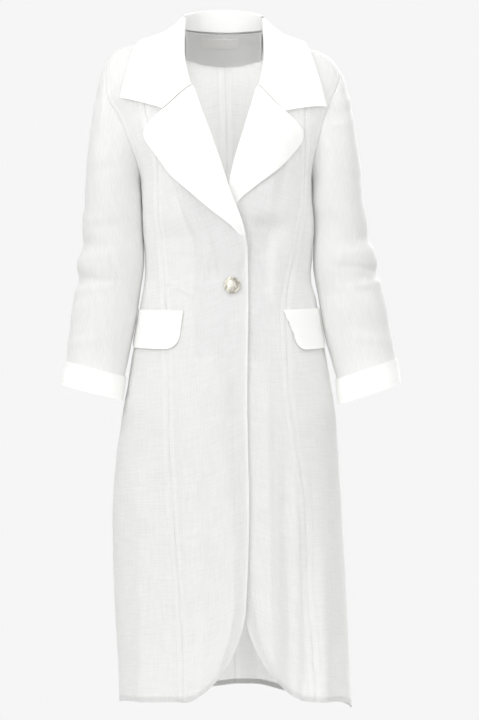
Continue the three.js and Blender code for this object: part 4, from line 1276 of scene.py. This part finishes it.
def woven_linen(name, light, shade, alpha, seed, sheen, single=None):
    """Plain-woven bleached linen: matt, uneven yarns both ways that catch light as fine slubs."""
    made, tree = start_material(name)
    # Yarns are about 0.6 mm apart. Drawn 1.9 mm apart, as finer ones don't show at this size.
    weft = slubs(tree, 1 / (38 * MM), 1 / (1.9 * MM), seed)
    warp = slubs(tree, 1 / (1.9 * MM), 1 / (46 * MM), seed + 5)
    both = node(tree, "ShaderNodeMath", {"operation": "ADD"}, {0: weft, 1: warp})
    half = node(tree, "ShaderNodeMath", {"operation": "MULTIPLY", 1: 0.5}, {0: both.outputs[0]})
    tone = mixed(tree, half.outputs[0], light, shade)
    rough = ranged(tree, half.outputs[0], to_min=0.78, to_max=0.93)
    if single is not None:
        # One layer lets some light past and looks greyer than a hem, seam or faced edge
        layers = node(tree, "ShaderNodeAttribute", {"attribute_name": "layers"})
        thin = node(
            tree,
            "ShaderNodeMix",
            {"data_type": "RGBA", "blend_type": "MULTIPLY", 0: 1.0, 7: (*single, 1)},
            {6: tone},
        )
        links = {0: layers.outputs["Fac"], 6: thin.outputs[2], 7: tone}
        tone = node(tree, "ShaderNodeMix", {"data_type": "RGBA"}, links).outputs[2]
    cloth = node(
        tree,
        "ShaderNodeBsdfPrincipled",
        {
            "IOR": 1.5,
            "Alpha": alpha,
            "Sheen Weight": sheen,
            "Sheen Roughness": 0.5,
            "Subsurface Weight": 1.0,
            "Subsurface Radius": (1, 1, 1),
            "Subsurface Scale": THROUGH,
        },
        {"Base Color": tone, "Roughness": rough},
    )
    finish_material(tree, cloth, half.outputs[0], 0.35, 0.4 * MM)
    return made


def pearl_button(name, light, dark):
    """Mother-of-pearl, cut and polished: cream with a taupe cloud, glossy under a clear surface."""
    made, tree = start_material(name)
    place = node(tree, "ShaderNodeTexCoord")
    cloud = node(
        tree,
        "ShaderNodeTexNoise",
        {"Scale": 1 / (18 * MM), "Detail": 4.0, "Roughness": 0.55, "Distortion": 1.6},
        {"Vector": place.outputs["Object"]},
    )
    spread = ranged(tree, cloud.outputs["Fac"], from_min=0.4, from_max=0.62)
    tone = mixed(tree, spread, light, dark)
    rough = ranged(tree, cloud.outputs["Fac"], to_min=0.12, to_max=0.24)
    shell = node(
        tree,
        "ShaderNodeBsdfPrincipled",
        {"IOR": 1.53, "Coat Weight": 0.6, "Coat Roughness": 0.05},
        {"Base Color": tone, "Roughness": rough},
    )
    finish_material(tree, shell, cloud.outputs["Fac"], 0.12, 0.3 * MM)
    return made


def spun_thread(name, light, shade):
    """Mercerised cotton thread: two twisted plies with a slight silky sheen."""
    made, tree = start_material(name)
    place = node(tree, "ShaderNodeTexCoord")
    plies = node(
        tree,
        "ShaderNodeTexWave",
        {"Scale": 1 / (0.8 * MM), "Distortion": 0.6},
        {"Vector": place.outputs["Object"]},
    )
    tone = mixed(tree, plies.outputs["Fac"], light, shade)
    rough = ranged(tree, plies.outputs["Fac"], to_min=0.5, to_max=0.7)
    thread = node(
        tree,
        "ShaderNodeBsdfPrincipled",
        {"IOR": 1.5, "Sheen Weight": 0.2},
        {"Base Color": tone, "Roughness": rough},
    )
    finish_material(tree, thread, plies.outputs["Fac"], 0.3, 0.1 * MM)
    return made


def painted_floor(name, colour):
    """Matt pale grey studio paint, rolled on: plain, with a trace of roller stipple."""
    made, tree = start_material(name)
    place = node(tree, "ShaderNodeTexCoord")
    stipple = node(
        tree,
        "ShaderNodeTexNoise",
        {"Scale": 1 / (6 * MM), "Detail": 2.0},
        {"Vector": place.outputs["Object"]},
    )
    paint = node(
        tree,
        "ShaderNodeBsdfPrincipled",
        {"Base Color": (*colour, 1), "Roughness": 0.9},
    )
    finish_material(tree, paint, stipple.outputs["Fac"], 0.05, 0.5 * MM)
    return made


# Settings


class BlazerSizes(bpy.types.PropertyGroup):
    stitch: bpy.props.FloatProperty(
        name="Stitch length",
        description="Length of one stitch along the hems",
        default=2.8 * MM,
        min=1.5 * MM,
        max=6 * MM,
        unit="LENGTH",
    )
    thread: bpy.props.FloatProperty(
        name="Thread",
        description="Thickness of the sewing thread",
        default=0.45 * MM,
        min=0.2 * MM,
        max=1 * MM,
        unit="LENGTH",
    )
    veil: bpy.props.FloatProperty(
        name="Cover of one layer",
        description="How much of what lies behind it a single layer of the linen hides",
        default=0.9,
        min=0.5,
        max=1,
        subtype="FACTOR",
    )
    floor_height: bpy.props.FloatProperty(
        name="Floor height",
        description="Height of the studio floor, as far below the neck as a wearer's feet",
        default=-1.42,
        max=-1.3,
        unit="LENGTH",
    )


def colour_of(label, text, hex_code):
    return bpy.props.FloatVectorProperty(
        name=label,
        description=text,
        subtype="COLOR",
        size=3,
        min=0,
        max=1,
        default=linear(hex_code),
    )


class BlazerColours(bpy.types.PropertyGroup):
    linen: colour_of("Linen", "Bleached linen on the light side of its yarns", "#FDFDFB")
    linen_shade: colour_of("Linen slubs", "Bleached linen in the thick, uneven yarns", "#EFEEEA")
    linen_thin: colour_of("Single layer", "Tint of the linen where it is one layer", "#F6F7F7")
    pearl: colour_of("Shell", "Light part of the mother-of-pearl", "#E6E2D2")
    pearl_dark: colour_of("Shell cloud", "Dark part of the mother-of-pearl", "#8F8A80")
    thread: colour_of("Thread", "Sewing thread", "#F7F6F1")
    tape: colour_of("Label tape", "Woven cotton label tape", "#F3F1EB")
    floor: colour_of("Floor", "Studio floor", "#BDBDBC")
    linen_pressed: colour_of("Pressed linen", "Linen of the two-layer pieces", "#F0F0EE")
    backdrop: colour_of("Backdrop", "Studio air behind the garment", "#F8F8F8")


MATERIALS = {}


def materials():
    """The finishes, made once from the colours in the panel."""
    if MATERIALS:
        return MATERIALS
    colours = bpy.context.scene.blazer_colours
    light, shade = list(colours.linen), list(colours.linen_shade)
    veil = bpy.context.scene.blazer_sizes.veil
    thin, pressed = list(colours.linen_thin), list(colours.linen_pressed)
    one = "Bleached linen, one layer"
    MATERIALS["single"] = woven_linen(one, light, shade, veil, 1, 0.1, single=thin)
    MATERIALS["double"] = woven_linen("Bleached linen, two layers", pressed, shade, 1, 3, 0.2)
    tape, thread = list(colours.tape), list(colours.thread)
    MATERIALS["tape"] = woven_linen("Cotton label tape, blank", tape, shade, 1, 9, 0.3)
    MATERIALS["thread"] = spun_thread("Mercerised cotton thread", thread, shade)
    pearl = list(colours.pearl), list(colours.pearl_dark)
    MATERIALS["pearl"] = pearl_button("Mother-of-pearl, polished", *pearl)
    MATERIALS["floor"] = painted_floor("Matt studio paint", list(colours.floor))
    return MATERIALS


def dress(piece, finish, slot, *nodes):
    """Gives a piece its finish and its place on the garment."""
    piece.data.materials.append(materials()[finish])
    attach(piece, "root")
    if nodes:
        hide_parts(*nodes)
    return piece


# A stitch: share of its step, corners, and its rings as share along, size and rise
STITCH_SHARE, STITCH_SIDES = 0.72, 5
STITCH_RINGS = ((0, 0.3, -0.3), (0.3, 1, 0.5), (0.7, 1, 0.5), (1, 0.3, -0.3))
SLOT = {"single": "linen_single", "double": "linen_double", "tape": "label_tape"}


def sew(title, cloth, finish):
    """Makes a piece of cloth of its cut size, in place of the solid of its name."""
    piece = dress(cloth.made(title + "_cloth"), finish, SLOT[finish], title)


def stitched(title, lines):
    """Lays short stitches along lines of points with the directions out of the cloth."""
    sizes = bpy.context.scene.blazer_sizes
    step, radius = sizes.stitch / MM, sizes.thread / MM / 2
    verts, faces = [], []
    for points, normals in lines:
        gaps = np.linalg.norm(np.diff(points, axis=0), axis=1)
        run = np.r_[0, np.cumsum(gaps)]
        for s in np.arange(step * 0.5, run[-1] - step, step):
            a, b, n = (
                np.array([np.interp(v, run, table[:, k]) for k in range(3)])
                for v, table in ((s, points), (s + step * STITCH_SHARE, points), (s, normals))
            )
            n /= np.linalg.norm(n)
            side = np.cross(b - a, n)
            side /= np.linalg.norm(side)
            base = len(verts)
            for t, size, rise in STITCH_RINGS:
                centre = a + (b - a) * t + n * radius * rise
                for turn in range(STITCH_SIDES):
                    angle = turn * 2 * math.pi / STITCH_SIDES
                    spoke = side * math.cos(angle) + n * math.sin(angle)
                    verts.append(centre + spoke * radius * size)
            for ring in range(len(STITCH_RINGS) - 1):
                first = base + ring * STITCH_SIDES
                for k in range(STITCH_SIDES):
                    here, beside = first + k, first + (k + 1) % STITCH_SIDES
                    faces.append((here, beside, beside + STITCH_SIDES, here + STITCH_SIDES))
            last = len(verts) - STITCH_SIDES
            faces.append(tuple(base + k for k in reversed(range(STITCH_SIDES))))
            faces.append(tuple(last + k for k in range(STITCH_SIDES)))
    mesh = bpy.data.meshes.new(title)
    mesh.from_pydata((np.array(verts) * MM).tolist(), [], faces)
    mesh.validate()
    return dress(placed(title, mesh), "thread", "linen_double")


PANELS = {}


def body_panels():
    """The six panels' fine grids, made once, as other pieces are laid on them."""
    if not PANELS:
        for side in (RIGHT, LEFT):
            PANELS["front", side] = make_front(side)
            PANELS["side_front", side] = make_side(side)
            PANELS["back", side] = make_back(side)
    return PANELS


# Operators


class BLAZER_OT_body(bpy.types.Operator):
    """Cuts and seams the fronts, side fronts and backs"""

    bl_idname = "blazer.body"
    bl_label = "Body panels"

    def execute(self, context):
        sewn = {
            "front": (False, True, True),
            "side_front": (True, True, False),
            "back": (True, True, False),
        }
        for (kind, side), panel in body_panels().items():
            sew(f"{kind}_{NAME[side]}", panel.cloth(*sewn[kind]), "single")
        return {"FINISHED"}


class BLAZER_OT_sleeves(bpy.types.Operator):
    """Sets in the sleeves and joins on their cuffs"""

    bl_idname = "blazer.sleeves"
    bl_label = "Sleeves and cuffs"

    def execute(self, context):
        for side in (RIGHT, LEFT):
            sew(f"sleeve_{NAME[side]}", make_sleeve(side), "single")
            sew(f"cuff_{NAME[side]}", make_cuff(side), "double")
        return {"FINISHED"}


class BLAZER_OT_collar(bpy.types.Operator):
    """Turns back the lapels and folds the collar"""

    bl_idname = "blazer.collar"
    bl_label = "Collar and lapels"

    def execute(self, context):
        for side in (RIGHT, LEFT):
            sew(f"lapel_{NAME[side]}", make_lapel(side), "double")
        sew("collar", make_collar(), "double")
        return {"FINISHED"}


class BLAZER_OT_facings(bpy.types.Operator):
    """Lines the front edges and the back neck, and sews in the blank label"""

    bl_idname = "blazer.facings"
    bl_label = "Facings and label"

    def execute(self, context):
        for side in (RIGHT, LEFT):
            facing = make_facing(body_panels()["front", side])
            sew(f"front_facing_{NAME[side]}", facing, "double")
        backs = {side: body_panels()["back", side] for side in (RIGHT, LEFT)}
        layer, points = make_neck_facing(backs)
        sew("back_neck_facing", layer, "double")
        sew("label", make_label(points), "tape")
        return {"FINISHED"}


class BLAZER_OT_flaps(bpy.types.Operator):
    """Hangs the pocket flaps"""

    bl_idname = "blazer.flaps"
    bl_label = "Pocket flaps"

    def execute(self, context):
        for side in (RIGHT, LEFT):
            sew(f"pocket_flap_{NAME[side]}", make_flap(side), "double")
        return {"FINISHED"}


class BLAZER_OT_button(bpy.types.Operator):
    """Turns the button"""

    bl_idname = "blazer.button"
    bl_label = "Button"

    def execute(self, context):
        points, (rings, steps) = make_button()
        faces = []
        for i in range(rings - 1):
            for j in range(steps):
                k = (j + 1) % steps
                corner = (i * steps + j, i * steps + k, (i + 1) * steps + k, (i + 1) * steps + j)
                faces.append(corner)
        faces.append(tuple(reversed(range(steps))))
        faces.append(tuple(range((rings - 1) * steps, rings * steps)))
        mesh = bpy.data.meshes.new("button_shell")
        mesh.from_pydata((points * MM).tolist(), [], faces)
        mesh.polygons.foreach_set("use_smooth", np.ones(len(faces), bool))
        mesh.validate()
        dress(placed("button_shell", mesh), "pearl", "shell_button", "button")
        return {"FINISHED"}


class BLAZER_OT_stitching(bpy.types.Operator):
    """Sews the hems with short stitches"""

    bl_idname = "blazer.stitching"
    bl_label = "Stitching"

    def execute(self, context):
        lines = []
        for panel in body_panels().values():
            row = HEM_ROWS
            outer = panel.points[row] + panel.normals[row] * WALL / 2
            lines.append((outer, panel.normals[row]))
        stitched("hem_stitching", lines)
        return {"FINISHED"}


def area_light(name, place, aim, size, watts):
    lamp = bpy.data.lights.new(name, "AREA")
    lamp.shape, lamp.size, lamp.energy = "SQUARE", size, watts
    made = placed(name, lamp)
    made.location = place
    made.rotation_euler = (Vector(aim) - Vector(place)).to_track_quat("-Z", "Y").to_euler()


class BLAZER_OT_stage(bpy.types.Operator):
    """Sets the floor, the soft lights and the camera"""

    bl_idname = "blazer.stage"
    bl_label = "Studio"

    def execute(self, context):
        scene = context.scene
        count, reach = 96, FLOOR_REACH
        height = scene.blazer_sizes.floor_height
        turn = [2 * math.pi * k / count for k in range(count)]
        corners = [(reach * math.cos(a), reach * math.sin(a), height) for a in turn]
        mesh = bpy.data.meshes.new("studio_floor")
        mesh.from_pydata(corners, [], [tuple(range(count))])
        mesh.materials.append(materials()["floor"])
        placed("studio_floor", mesh)

        world = bpy.data.worlds.new("Studio air")
        world.use_nodes = True
        tree = world.node_tree
        air = tree.nodes["Background"]
        air.inputs["Color"].default_value = (*scene.blazer_colours.backdrop, 1)
        seen = node(tree, "ShaderNodeLightPath")
        strength = node(
            tree,
            "ShaderNodeMapRange",
            {"To Min": WORLD_STRENGTH, "To Max": BACKDROP_STRENGTH},
            {"Value": seen.outputs["Is Camera Ray"]},
        )
        tree.links.new(strength.outputs["Result"], air.inputs["Strength"])
        scene.world = world
        for name, place, size, watts in LIGHTS:
            area_light(name, place, LIT_PLACE, size, watts)

        camera = bpy.data.cameras.new("Camera")
        camera.lens, camera.sensor_width, camera.sensor_fit = CAMERA_LENS, 36, "AUTO"
        camera.clip_end = 50
        eye = placed("Camera", camera)
        eye.location = CAMERA_PLACE
        eye.rotation_euler = Vector((0, 1, 0)).to_track_quat("-Z", "Y").to_euler()
        eye.rotation_euler.rotate_axis("Z", math.radians(CAMERA_ROLL))
        scene.camera = eye
        scene.view_settings.view_transform = "Standard"
        return {"FINISHED"}


class BLAZER_PT_panel(bpy.types.Panel):
    bl_idname = "BLAZER_PT_panel"
    bl_label = "Long linen blazer"
    bl_space_type = "VIEW_3D"
    bl_region_type = "UI"
    bl_category = "Blazer"

    def draw(self, context):
        layout = self.layout
        for group in (context.scene.blazer_sizes, context.scene.blazer_colours):
            for name in group.__annotations__:
                layout.prop(group, name)
        for operator in OPERATORS:
            layout.operator(operator.bl_idname)


OPERATORS = (
    BLAZER_OT_body,
    BLAZER_OT_sleeves,
    BLAZER_OT_collar,
    BLAZER_OT_facings,
    BLAZER_OT_flaps,
    BLAZER_OT_button,
    BLAZER_OT_stitching,
    BLAZER_OT_stage,
)


def register():
    for made in (BlazerSizes, BlazerColours, *OPERATORS, BLAZER_PT_panel):
        bpy.utils.register_class(made)
    bpy.types.Scene.blazer_sizes = bpy.props.PointerProperty(type=BlazerSizes)
    bpy.types.Scene.blazer_colours = bpy.props.PointerProperty(type=BlazerColours)


def unregister():
    del bpy.types.Scene.blazer_sizes
    del bpy.types.Scene.blazer_colours
    for made in reversed((BlazerSizes, BlazerColours, *OPERATORS, BLAZER_PT_panel)):
        bpy.utils.unregister_class(made)


def main():
    register()
    bpy.ops.blazer.body()
    bpy.ops.blazer.sleeves()
    bpy.ops.blazer.collar()
    bpy.ops.blazer.facings()
    bpy.ops.blazer.flaps()
    bpy.ops.blazer.button()
    bpy.ops.blazer.stitching()
    bpy.ops.blazer.stage()


if __name__ == "__main__":
    main()
